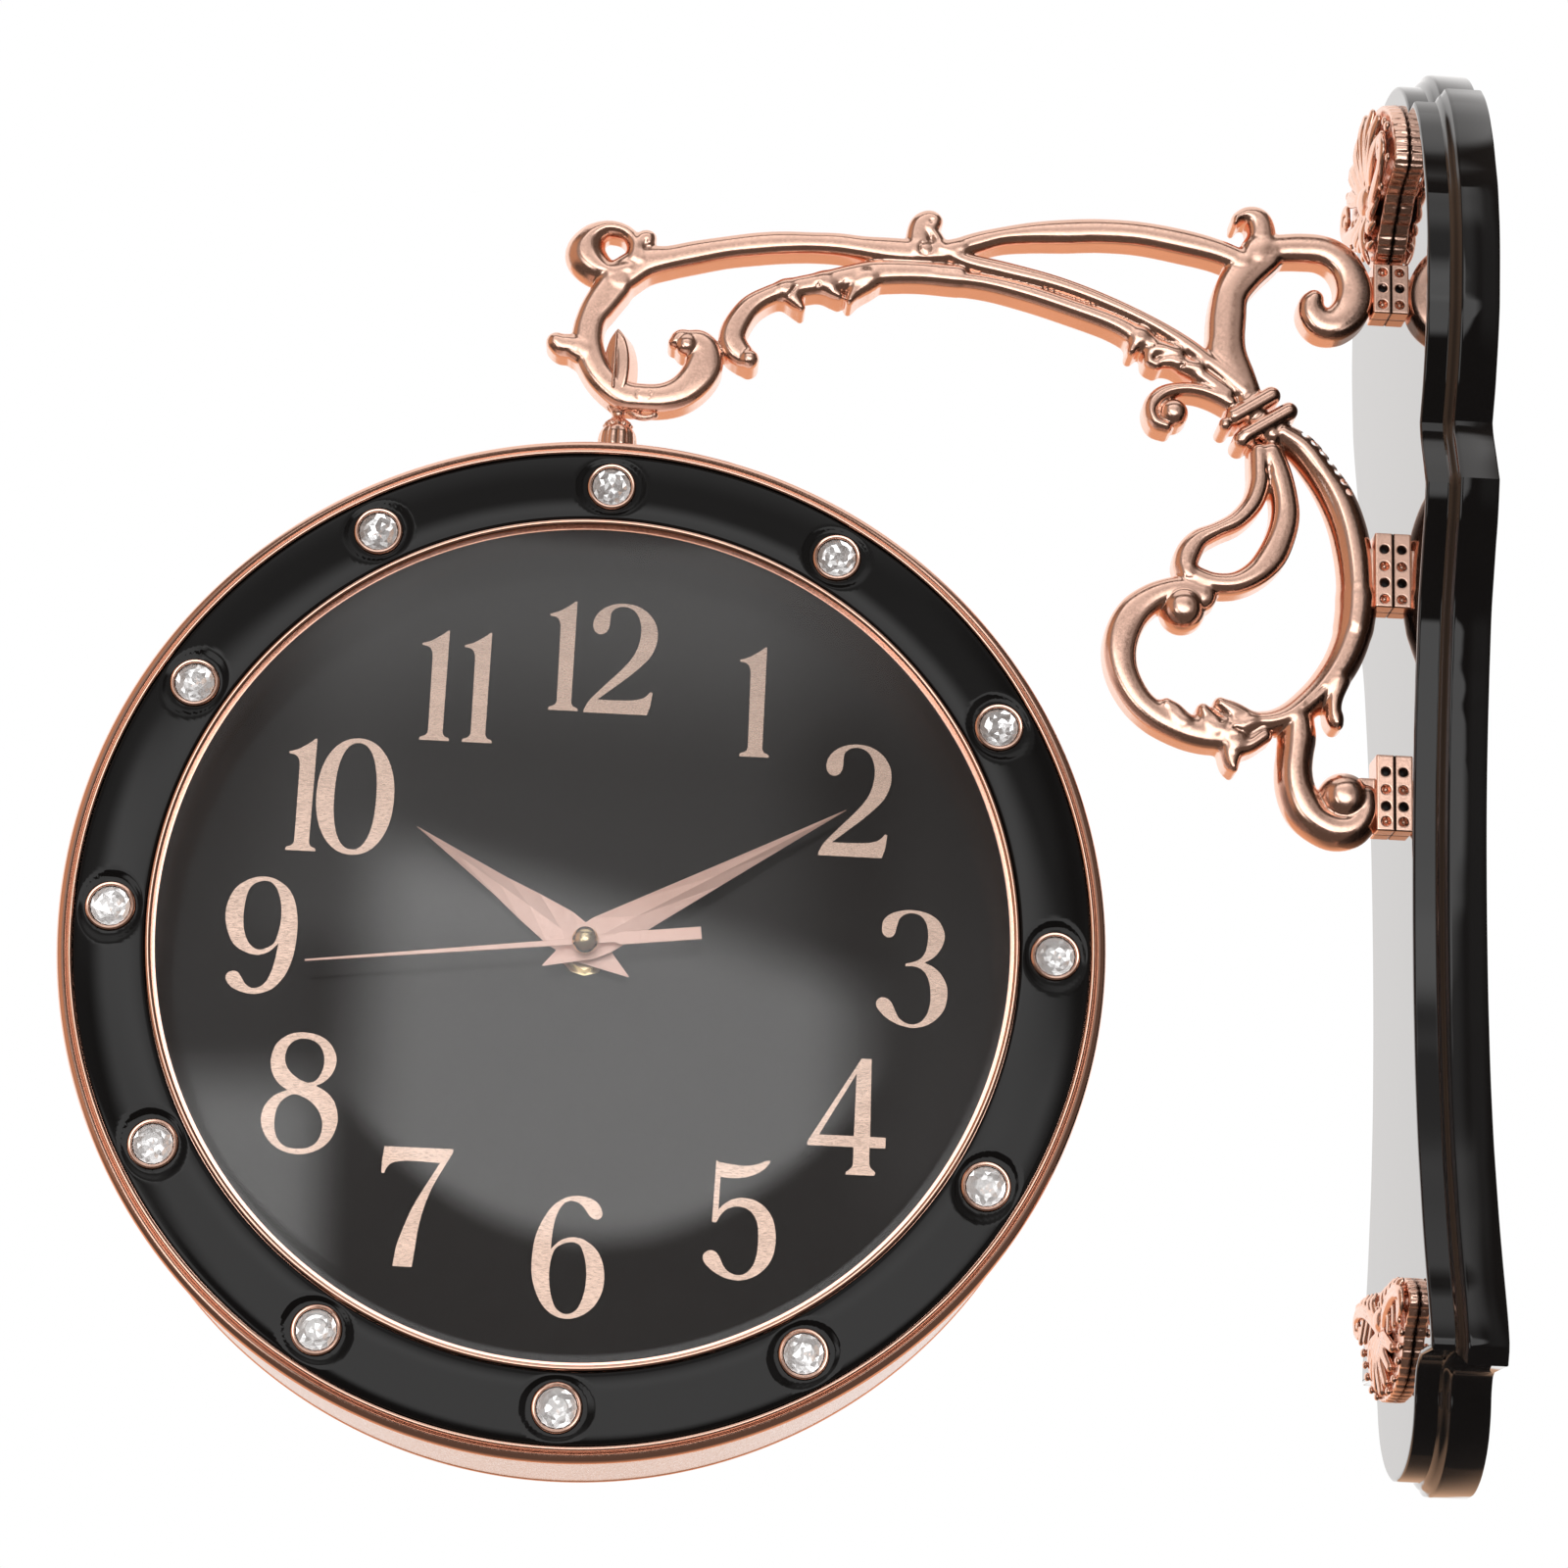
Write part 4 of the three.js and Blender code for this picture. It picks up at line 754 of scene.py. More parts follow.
# ------------------------------------------------------------------ feet of the bracket
FEET = {
    "foot_1": ((127.4, 142.4), (130.5, 139.0), [(-21.2, 139.8, 0), (-21.2, 135.0, 1), (-21.2, 130.1, 0)]),
    "foot_2": ((40.4, 62.0), (43.5, 58.0), [(-21.2, 57.2, 1), (-21.2, 52.3, 0), (-21.2, 47.5, 1), (-21.2, 42.8, 0)]),
    "foot_3": ((-23.1, -1.7), (-18.0, -8.0), [(-21.2, -6.5, 1), (-21.2, -11.5, 0), (-21.2, -16.2, 1), (-21.2, -20.4, 0)]),
}
# profile of the black matte disc laid in the bottom of each deep pit: painted shade standing in for the dark inside of
# the hole
PIT_SHADE_DISC = [(0, 1.4), (1.24, 1.4), (1.24, 2.1), (0.9, 1.85), (0, 1.75)]
for fname, ((z0, z1), (n0, n1), pits) in FEET.items():
    f = Field((-29.5, -6.2, z0 - 1.5), (-17.9, 6.2, z1 + 1.5), 0.2)
    f.box((-23.9, -4.9, z0), (PLATE_FRONT + 0.02, 4.9, z1), 0.45)
    f.box((-28.5, -3.4, n0), (-22.0, 3.4, n1), 0.8, 0.5)
    for sy in (-1, 1):
        for x, z, deep in pits:
            f.rod((x, sy * 6, z), (x, sy * (1.9 if deep else 4.2), z), 1.25, 1.25, 0.12, carve=True)
            if not deep:
                f.ball((x, sy * 3.75, z), 0.85, 0.1)
    f.box((-29, -0.14, z0 - 1), (-18, 0.14, z0 + 0.7), 0.05, 0.05, carve=True)
    v, q = f.mesh(1)
    make(fname + "_casting", v, q, ROSE, "wall_bracket", True)
    # a black matte disc at the bottom of each deep pit, on both sides: painted shade where the hole's own shadow would
    # be
    for no, (x, z, deep) in enumerate(pits):
        if deep:
            for sy in (-1, 1):
                turned("%s_hole_%d%s" % (fname, no, "nf"[sy > 0]), PIT_SHADE_DISC, axis_y(x, z, sy), MATTE, "wall_bracket", 24)


# ------------------------------------------------------------------ wall plate
PLATE_SIDE = [
    [178.0, 35.0], [175.5, 37.4], [172.7, 39.5], [169.2, 41.6], [165.4, 43.35], [158.2, 46.2], [151.5, 48.0], [144.9, 49.8],
    [138.8, 50.5], [132.8, 51.0], [125.0, 50.9], [116.0, 50.2], [110.7, 49.7], [105.7, 48.6], [100.6, 47.2], [95.6, 45.6],
    [90.5, 43.9], [85.9, 41.9], [81.2, 39.8], [78.0, 40.3], [75.0, 41.2], [68.3, 44.0], [61.8, 46.6], [56.8, 45.4], [51.8, 43.9],
    [47.2, 42.0], [42.2, 40.2], [37.2, 38.4], [32.5, 36.7], [27.5, 35.3], [22.2, 34.2], [17.2, 33.2], [12.2, 32.2],
    [6.9, 31.3], [1.9, 30.4], [-3.4, 29.6], [-8.4, 28.9], [-13.7, 28.2], [-24.0, 27.2], [-34.7, 26.5], [-45.0, 26.1],
    [-55.0, 25.9], [-71.0, 26.0], [-82.0, 26.5], [-92.0, 27.1], [-102.0, 28.2], [-113.0, 29.8], [-123.0, 31.9],
    [-134.0, 34.4], [-144.0, 37.2], [-154.0, 40.3], [-160.0, 42.0], [-164.5, 42.8], [-166.5, 42.3],
]
TONGUE = [[30.0, -166.5], [27.4, -167.6], [25.5, -169.5], [23.6, -174.0], [22.3, -180.0], [19.5, -186.0], [14.0, -191.5],
          [7.0, -194.8], [0.0, -195.6]]


def plate_outline():
    """Right half from the top down: list of runs, each smooth; corners lie between the runs."""
    runs = [[(32.4 * math.cos(math.radians(a)), 163.7 + 32.4 * math.sin(math.radians(a))) for a in range(90, 26, -4)]
            + [(29.0, 178.15)]]
    side = [(w, z) for z, w in PLATE_SIDE]
    i = [z for z, w in PLATE_SIDE].index(81.2)
    j = [z for z, w in PLATE_SIDE].index(61.8)
    runs.append([(29.0, 178.1), (35.0, 178.0)])
    for a, b in ((0, i), (i, j), (j, len(side) - 1)):
        runs.append([tuple(p[:2]) for p in spline([[*p] for p in side[a:b + 1]], 2.5)])
    runs.append([(42.3, -166.5), (30.0, -166.5)])
    runs.append([tuple(p[:2]) for p in spline(TONGUE, 2.0)])
    half = []
    for r in runs:
        for p in r:
            if not half or math.hypot(p[0] - half[-1][0], p[1] - half[-1][1]) > 0.05:
                half.append(p)
    half[0] = (0.0, half[0][1])
    half[-1] = (0.0, half[-1][1])
    return half + [(-y, z) for y, z in half[-2:0:-1]]


def grown(loop, d, limit=2.2):
    p = np.array(loop)
    a = np.roll(p, 1, 0)
    b = np.roll(p, -1, 0)
    e0 = (p - a) / np.linalg.norm(p - a, axis=1)[:, None]
    e1 = (b - p) / np.linalg.norm(b - p, axis=1)[:, None]
    n0 = np.stack([-e0[:, 1], e0[:, 0]], 1)
    n1 = np.stack([-e1[:, 1], e1[:, 0]], 1)
    k = 1 + (n0 * n1).sum(1)
    m = (n0 + n1) / np.maximum(k, 0.45)[:, None]
    return p + m * d


OUT = plate_outline()
ring_levels = [(-18.85, -1.4), (-18.85, -0.9), (-18.72, -0.45), (-18.45, -0.15), (-18.0, 0.0), (-13.2, 0.0), (-12.85, 0.12), (-12.6, 0.6),
               (-12.2, 1.3), (-11.7, 1.8), (-11.2, 2.2), (-10.8, 2.9), (-10.45, 3.4), (-10.0, 3.6), (-9.4, 3.66), (-0.6, 3.66),
               (-0.2, 3.5), (0.0, 3.1), (0.0, 1.05), (-3.0, 1.0), (-3.0, -3.0), (-14.6, -3.0)]
rings = []
for x, d in ring_levels:
    g = grown(OUT, d)
    if d < -2:
        # inward rings stay clear of the sharp lower corners
        g[:, 0] = np.clip(g[:, 0], -39.0 - 10 * (g[:, 1] > -150), 39.0 + 10 * (g[:, 1] > -150))
    rings.append(np.column_stack([np.full(len(g), x), g[:, 0], g[:, 1]]))
n = len(OUT)
pv = np.vstack(rings)
pf = []
for r in range(len(rings) - 1):
    for i in range(n):
        j = (i + 1) % n
        pf.append((r * n + i, r * n + j, (r + 1) * n + j, (r + 1) * n + i))
for r in (0, len(rings) - 1):
    loop = [Vector((p[1], p[2], 0)) for p in rings[r]]
    for t in tessellate_polygon([loop]):
        pf.append(tuple(r * n + i for i in t))
plate = make("plate_moulding", pv, pf, PLATE_BLACK, "wall_bracket", True, ("wall_plate",))
outward(plate)
sharpen(plate, 28)

# ------------------------------------------------------------------ carved ornaments on the plate
def polygon_distance(loop, A, B):
    """Signed distance to a closed outline, negative inside."""
    p = np.array(loop)
    q = np.roll(p, -1, 0)
    best = np.full(A.shape, 1e9)
    inside = np.zeros(A.shape, bool)
    for (ax, ay), (bx, by) in zip(p, q):
        dx, dy = bx - ax, by - ay
        t = np.clip(((A - ax) * dx + (B - ay) * dy) / (dx * dx + dy * dy + 1e-12), 0, 1)
        best = np.minimum(best, np.hypot(A - ax - t * dx, B - ay - t * dy))
        if ay != by:
            inside ^= ((ay > B) != (by > B)) & (A < (bx - ax) * (B - ay) / (by - ay) + ax)
    return np.where(inside, -best, best)


def slab(f, half, top, r=0.9, draft=0.10):
    """Base of an ornament: its outline standing on the plate, with drafted sides."""
    loop = [tuple(p[:2]) for p in spline(half, 1.5)]
    loop = loop + [(-y, z) for y, z in loop[-2:0:-1]]
    A, B = np.meshgrid(f.ax[1], f.ax[2], indexing="ij")
    d = polygon_distance(loop, A, B).astype(np.float32)[None, :, :]
    X = f.ax[0].astype(np.float32)[:, None, None]
    rise = PLATE_FRONT - X
    q1 = d + draft * rise + r
    q2 = np.maximum(rise - (PLATE_FRONT - top), -rise - 0.02) + r
    val = np.minimum(np.maximum(q1, q2), 0) + np.hypot(np.maximum(q1, 0), np.maximum(q2, 0)) - r
    f.join(tuple(slice(0, n) for n in f.n), val.astype(np.float32), 0.0)
    return loop


def flute(f, loop, pitch, r, lo, hi):
    """Upright flutes round the side wall."""
    p = np.array(loop + loop[:1])
    s_ = np.concatenate([[0], np.cumsum(np.linalg.norm(np.diff(p, axis=0), axis=1))])
    k = int(s_[-1] / pitch)
    for i in range(k):
        t = s_[-1] * i / k
        y, z = np.interp(t, s_, p[:, 0]), np.interp(t, s_, p[:, 1])
        f.rod((lo, y, z), (hi, y, z), r, r * 0.8, 0.3, carve=True)


HO = 0.38


def settle(v, level, k):
    """Press the relief that stands over a level down towards it."""
    v = np.array(v)
    x = v[:, 0]
    v[:, 0] = np.where(x < level, level + (x - level) * k, x)
    return v



def upper_ornament():
    f = Field((-31.4, -33.5, 140.5), (-18.2, 33.5, 192.5), HO)
    half = [(0, 189.9), (6, 189.6), (12, 187.9), (18, 185.0), (23.5, 181.0), (27.4, 176.2), (29.8, 170.8), (30.6, 165.2), (29.6, 161.0),
            (26, 159.4), (22.0, 158.6), (17.5, 156.4), (13.5, 152.8), (9.8, 150.4), (7.4, 147.2), (4.6, 144.5), (0, 142.9)]
    loop = slab(f, half, -23.3)
    flute(f, loop, 3.1, 0.7, -25.0, -19.6)
    # fan of petals
    for i, a in enumerate((-64, -43, -21.5, 0, 21.5, 43, 64)):
        t = math.radians(a)
        L = 25.6 - 1.6 * abs(i - 3) / 3
        sy, cz = math.sin(t), math.cos(t)
        w = 1.0 if i % 2 else 0.88
        f.path([(-25.0, 4.5 * sy, 163.5 + 4.5 * cz, 1.5 * w), (-26.9, 0.42 * L * sy, 163.5 + 0.42 * L * cz, 2.3 * w),
                (-27.5, 0.74 * L * sy, 163.5 + 0.74 * L * cz, 2.9 * w), (-26.0, 0.97 * L * sy, 163.5 + 0.97 * L * cz, 1.9 * w)], 0.5)
        f.rod((-29.4, 5.5 * sy, 163.5 + 5.5 * cz), (-30.3, 0.86 * L * sy, 163.5 + 0.86 * L * cz), 0.7, 1.25, 0.35, carve=True)
        b = t + math.radians(10.7)
        if i < 6:
            f.ball((-26.6, 0.8 * L * math.sin(b), 163.5 + 0.8 * L * math.cos(b)), 1.05, 0.3)
    for m in (-1, 1):
        # side volutes
        f.path([(-25.2, 4 * m, 161.5, 2.1), (-26.6, 10.5 * m, 158.8, 2.5), (-27.3, 17.5 * m, 160.4, 2.4), (-27.6, 23.6 * m, 162.6, 2.1),
                (-27.8, 26.8 * m, 166.6, 1.9), (-27.9, 25.2 * m, 170.8, 1.6), (-27.8, 21.6 * m, 170.6, 1.3),
                (-27.6, 20.9 * m, 167.6, 1.1)], 0.45)
        f.ball((-27.4, 23.3 * m, 167.4), 1.9, 0.3)
        f.path([(-29.6, 8 * m, 160.2, 0.5), (-30.2, 15 * m, 160.6, 0.6), (-30.2, 21.5 * m, 163.2, 0.5)], 0.3, carve=True)
        # small leaves below
        f.path([(-25.2, 3 * m, 159, 1.8), (-27.2, 9 * m, 155.6, 2.1), (-26.6, 12.6 * m, 156.4, 1.5), (-25.4, 15.6 * m, 158.6, 0.9)], 0.4)
        f.path([(-25.2, 2 * m, 156, 1.6), (-27.0, 6 * m, 152.4, 1.8), (-25.6, 9.2 * m, 152.8, 0.9)], 0.4)
        f.path([(-25.0, 1 * m, 151, 1.3), (-26.4, 3.6 * m, 148.0, 1.4), (-25.2, 5.6 * m, 148.4, 0.8)], 0.4)
        for y, z, r in ((28.2, 173.2, 1.5), (24.9, 176.4, 1.3), (29.0, 163.4, 1.3), (20.2, 158.8, 1.2), (18.2, 164.4, 1.3),
                        (13.6, 163.0, 1.2), (9.6, 163.4, 1.1)):
            f.ball((-26.2, y * m, z), r, 0.3)
    f.path([(-25.0, 0, 158, 2.2), (-27.6, 0, 153, 2.1), (-27.2, 0, 148.4, 1.6), (-25.2, 0, 144.8, 0.9)], 0.4)
    f.ball((-25.4, 0, 163.2), 4.9, 0.3)
    for i in range(10):
        a = i * math.pi / 5
        f.ball((-26.6, 5.7 * math.sin(a), 163.2 + 5.7 * math.cos(a)), 1.15, 0.2)
    v, q = f.mesh(2)
    return settle(v, -22.9, 0.6), q


def lower_ornament():
    f = Field((-27.6, -41.5, -178.5), (-18.2, 41.5, -134.5), HO)
    half = [(0, -146.2), (6, -145.7), (12, -145.2), (18.5, -145.3), (24.5, -146.4), (29.0, -149.2), (30.6, -153.0), (28.6, -156.4),
            (25.4, -159.2), (23.0, -162.6), (20.6, -166.4), (17.2, -170.0), (12.6, -173.0), (7, -174.7), (0, -175.5)]
    loop = slab(f, half, -21.8, 0.8)
    flute(f, loop, 3.0, 0.65, -23.0, -19.4)
    for m in (-1, 1):
        f.path([(-22.6, 3 * m, -156.5, 1.7), (-23.6, 8.5 * m, -152.8, 2.0), (-24.0, 15 * m, -150.4, 2.0), (-24.2, 22 * m, -149.4, 1.9),
                (-24.2, 27.2 * m, -150.8, 1.6), (-24.2, 27.8 * m, -154.2, 1.2), (-24.0, 25.0 * m, -155.4, 1.0),
                (-23.8, 23.8 * m, -153.6, 0.8)], 0.4)
        f.ball((-24.0, 25.6 * m, -152.8), 1.1, 0.3)
        for a, b in (((5.6, -152), (6.6, -147.0)), ((10, -151.6), (11.2, -146.6)), ((14.6, -150.6), (16.0, -146.2)),
                     ((19, -150), (20.6, -146.4)), ((23.4, -149.4), (25.6, -147.2))):
            f.path([(-23.0, a[0] * m, a[1], 1.4), (-24.1, (a[0] * 0.45 + b[0] * 0.55) * m, a[1] * 0.45 + b[1] * 0.55, 1.5),
                    (-22.9, b[0] * m, b[1], 0.9)], 0.35)
        for a, b in (((10, -153.6), (11.6, -158.2)), ((15.6, -152.4), (18.0, -157.4)), ((21, -151.6), (23.6, -157.0))):
            f.path([(-22.9, a[0] * m, a[1], 1.2), (-23.7, b[0] * m, b[1], 1.1)], 0.35)
        f.path([(-25.4, 7 * m, -153.2, 0.4), (-26.0, 15 * m, -150.3, 0.5), (-26.0, 24 * m, -149.4, 0.4)], 0.3, carve=True)
        for y, z, r in ((23.4, -160.0, 1.2), (21.4, -163.4, 1.1), (18.8, -166.8, 1.2), (13.6, -170.8, 1.1), (6.8, -173.2, 1.1)):
            f.ball((-22.8, y * m, z), r, 0.3)
    for i, a in enumerate((-62, -41, -20.5, 0, 20.5, 41, 62)):
        t = math.radians(a)
        L = 16.6 - 0.7 * abs(i - 3)
        f.path([(-22.8, 3.4 * math.sin(t), -155.8 - 3.4 * math.cos(t), 1.1), (-24.0, 0.6 * L * math.sin(t), -155.8 - 0.6 * L * math.cos(t), 1.8),
                (-23.0, L * math.sin(t), -155.8 - L * math.cos(t), 1.5)], 0.35)
        f.rod((-25.4, 5 * math.sin(t), -155.8 - 5 * math.cos(t)), (-25.6, 0.9 * L * math.sin(t), -155.8 - 0.9 * L * math.cos(t)),
              0.4, 0.7, 0.3, carve=True)
    f.ball((-23.0, 0, -154.2), 3.2, 0.3)
    for i in range(9):
        a = i * 2 * math.pi / 9
        f.ball((-23.5, 4.2 * math.sin(a), -154.2 + 4.2 * math.cos(a)), 0.95, 0.2)
    v, q = f.mesh(2)
    return settle(v, -21.4, 0.66), q


v, q = upper_ornament()
make("upper_carving", v, q, ROSE, "wall_bracket", True, ("upper_ornament",))
v, q = lower_ornament()
make("lower_carving", v, q, ROSE, "wall_bracket", True, ("lower_ornament",))

# ------------------------------------------------------------------ leaf nut over the hanger
def leaf_nut():
    """Made face on (u across, v deep, w up), then turned to its place."""
    f = Field((-5.2, -7.6, 90.4), (5.2, 4.9, 113.4), 0.19)
    half = [(0, 111.9), (1.3, 110.4), (2.5, 108.2), (3.5, 104.6), (3.8, 100.4), (3.5, 96.4), (2.7, 93.4), (1.6, 91.9), (0, 91.3)]
    loop = [tuple(p[:2]) for p in spline(half, 0.8)]
    loop = loop + [(-y, z) for y, z in loop[-2:0:-1]]
    A, B = np.meshgrid(f.ax[0], f.ax[2], indexing="ij")
    d = polygon_distance(loop, A, B).astype(np.float32)[:, None, :]
    V = f.ax[1].astype(np.float32)[None, :, None]
    r = 0.7
    # the near face swells a little along the middle of the leaf
    q1 = d + r
    q2 = np.maximum(-4.9 - np.minimum(2.6, np.maximum(0, -d)) * 0.2 - V, V - 3.2) + r
    val = np.minimum(np.maximum(q1, q2), 0) + np.hypot(np.maximum(q1, 0), np.maximum(q2, 0)) - r
    f.join(tuple(slice(0, n) for n in f.n), val.astype(np.float32), 0.0)
    # rim, mid rib and slanting veins
    for a, b in zip(loop, loop[1:] + loop[:1]):
        f.rod((a[0] * 0.76, -5.6, 101.5 + (a[1] - 101.5) * 0.87), (b[0] * 0.76, -5.6, 101.5 + (b[1] - 101.5) * 0.87), 0.36, 0.36, 0.12, carve=True)
    f.rod((0, -6.1, 94.0), (0, -5.8, 110.2), 0.5, 0.36, 0.2)
    for i in range(7):
        z = 93.6 + 2.15 * i
        wdt = 2.7 - (0.45 * (i - 4) if i > 4 else 0)
        for m in (-1, 1):
            f.rod((0.55 * m, -6.5, z), (wdt * m, -5.7, z + 2.3), 0.42, 0.5, 0.15, carve=True)
    return f.mesh(1)


v, q = leaf_nut()
cu, su = math.cos(math.radians(-20)), math.sin(math.radians(-20))
v = np.column_stack([SX + 0.2 + v[:, 0] * cu - v[:, 1] * su, v[:, 0] * su + v[:, 1] * cu, v[:, 2] - 1.6])
make("leaf_nut", v, q, ROSE, "wall_bracket", True, ("leaf_finial",))

# ------------------------------------------------------------------ hanger stem
STEM = [(0, 55), (1.95, 55), (1.95, 68.6), (5.6, 68.6), (6.2, 69.6), (6.1, 71.0), (5.2, 72.2), (4.7, 73.4), (5.1, 74.6), (5.3, 76.6),
        (5.2, 78.6), (4.95, 80.2), (4.4, 81.6), (3.9, 82.2), (3.95, 82.8), (3.7, 83.3), (3.1, 83.9), (2.3, 84.6), (1.9, 85.4),
        (1.85, 86.0), (2.2, 86.8), (3.0, 87.6), (3.3, 88.4), (3.1, 89.2), (1.9, 89.6), (1.9, 103.6), (0, 103.6)]


def stem_mesh():
    segs = 96
    prof = []
    for (r0, z0), (r1, z1) in zip(STEM[:-1], STEM[1:]):
        n = max(1, int(math.hypot(r1 - r0, z1 - z0) / 0.35)) if 68.6 < (z0 + z1) / 2 < 89.6 else 1
        prof += [(r0 + (r1 - r0) * i / n, z0 + (z1 - z0) * i / n) for i in range(n)]
    prof.append(STEM[-1])
    v, f = lathe(prof, segs, axis_z(SX, 0))
    v = np.array(v)
    a = np.arctan2(v[:, 1], v[:, 0] - SX)
    r = np.hypot(v[:, 1], v[:, 0] - SX)
    z = v[:, 2]
    bell = np.clip((z - 73.8) / 1.5, 0, 1) * np.clip((82.0 - z) / 1.2, 0, 1)
    crown = np.clip((z - 82.2) / 0.4, 0, 1) * np.clip((85.0 - z) / 0.6, 0, 1)
    flare = np.clip((z - 86.6) / 0.6, 0, 1) * np.clip((89.4 - z) / 0.4, 0, 1)
    g = 1 + bell * 0.10 * (np.abs(np.cos(5 * a)) - 0.6) + crown * 0.09 * np.cos(12 * a) + flare * 0.06 * np.cos(10 * a)
    g = np.where(r > 2.0, g, 1)
    v[:, 0] = SX + (v[:, 0] - SX) * g
    v[:, 1] *= g
    o = make("stem_casting", v, f, ROSE, "wall_bracket", True, ("hanger_stem",))
    outward(o)
    sharpen(o, 40)


stem_mesh()
f = Field((-234.5, -5.2, 81.5), (-221.5, 1.0, 90.5), 0.18)
f.path([(-231.6, -1.6, 87.6, 1.0), (-229.4, -2.4, 85.6, 1.05), (-226.8, -2.8, 84.8, 0.95), (-224.6, -2.9, 85.2, 0.85)], 0.2)
f.ball((-223.9, -2.9, 85.6), 1.05, 0.3)
f.ball((-228.4, -2.2, 86.2), 1.1, 0.3)
v, q = f.mesh(1)
make("stem_tail", v, q, ROSE, "wall_bracket", True)

# ------------------------------------------------------------------ clock faces
def polar_ring(name, r_in, r_out, height, base, mat, body, dirn, replaces, nr=26, na=720):
    """Closed ring whose top is height(r, angle) and whose underside is flat at base."""
    rs = np.concatenate([[r_in, r_in + 0.12, r_in + 0.3], np.linspace(r_in + 0.6, r_out - 0.6, nr), [r_out - 0.3, r_out - 0.12, r_out]])
    a = np.arange(na) * 2 * np.pi / na
    R, A = np.meshgrid(rs, a, indexing="ij")
    top = height(R, A)
    ed = np.array([0.45, 0.2, 0.05] + [0.0] * nr + [0.05, 0.2, 0.45])
    top = top - ed[:, None]
    m = len(rs)
    x = CX - dirn * R * np.sin(A)
    z = CZ + R * np.cos(A)
    v = np.concatenate([np.stack([x.ravel(), (dirn * top).ravel(), z.ravel()], 1),
                        np.stack([x[[0, -1]].ravel(), np.full(2 * na, dirn * base), z[[0, -1]].ravel()], 1)])
    f = []
    i = np.arange(na)
    j = (i + 1) % na
    for r in range(m - 1):
        f.append(np.stack([r * na + i, r * na + j, (r + 1) * na + j, (r + 1) * na + i], 1))
    b = m * na
    f.append(np.stack([b + i, b + j, j, i], 1))
    f.append(np.stack([(m - 1) * na + i, (m - 1) * na + j, b + na + j, b + na + i], 1))
    f.append(np.stack([b + na + i, b + na + j, b + j, b + i], 1))
    f = np.concatenate(f)
    o = make(name, v, f, mat, body, True, replaces)
    outward(o)
    sharpen(o, 50)
    return o


BEZEL = (
    [(110.0, DIAL_FACE), (110.0, 28.6), (110.85, 28.6), (110.85, 30.3)]
    + arc(111.55, 30.55, 0.72, 160, 20, 8)
    + [(112.35, 30.2), (112.4, 28.2), (130.75, 28.2), (130.75, 30.1)]
    + arc(131.35, 30.35, 0.6, 165, 10, 8)
    + [(132.02, 30.0), (132.25, 29.85), (132.5, 30.05)]
    + arc(132.75, 28.1, 2.18, 82, -18, 12)
    + [(134.6, 27.05), (134.3, 26.75), (134.35, 26.45), (133.1, 26.4), (133.1, 20.0), (131.6, 20.0), (131.6, 26.6),
       (112.2, 26.6), (112.2, DIAL_FACE)]
)

PITCH = 121.44


def dish(R, A):
    """Top of the black ring: gently crowned, and hollowed round each stone."""
    t = (R - 112.7) / (130.6 - 112.7)
    h = 30.7 - 0.4 * t + 0.55 * (1 - (2 * t - 1) ** 2)
    step = math.radians(30)
    off = (A - math.radians(0.27) + step / 2) % step - step / 2
    s = PITCH * off
    d = np.sqrt((s / 1.12) ** 2 + (R - PITCH) ** 2)
    q = np.clip((8.4 - d) / 1.3, 0, 1)
    h = h - 0.55 * q * q * (3 - 2 * q)
    # well under each stone
    return np.where(np.sqrt(s ** 2 + (R - PITCH) ** 2) < 5.6, 28.6, h)


def stone(cx, cz, dirn, turn):
    """Clear crown of a cut stone: table, stars, kites, upper halves, girdle."""
    def pt(r, a, h):
        return (cx - dirn * r * math.sin(a), dirn * h, cz + r * math.cos(a))
    v, f = [], []
    e = math.pi / 8
    T = [turn + 2 * e * i for i in range(8)]
    for a in T:
        v.append(pt(2.75, a, 32.3))
    for a in T:
        v.append(pt(3.85, a + e, 31.75))
    for i in range(16):
        v.append(pt(5.1, turn + e * i, 30.95))
    for i in range(16):
        v.append(pt(5.1, turn + e * i, 30.8))
    f.append(tuple(range(8)))
    for i in range(8):
        j = (i + 1) % 8
        p = (i - 1) % 8
        f.append((i, 8 + i, j))
        f.append((i, 8 + p, 16 + 2 * i, 8 + i))
        f.append((8 + i, 16 + 2 * i, 16 + (2 * i + 1) % 16))
        f.append((8 + i, 16 + (2 * i + 1) % 16, 16 + (2 * i + 2) % 16))
    for i in range(16):
        j = (i + 1) % 16
        f.append((16 + i, 16 + j, 32 + j, 32 + i))
    f.append(tuple(range(32, 48)))
    return v, f


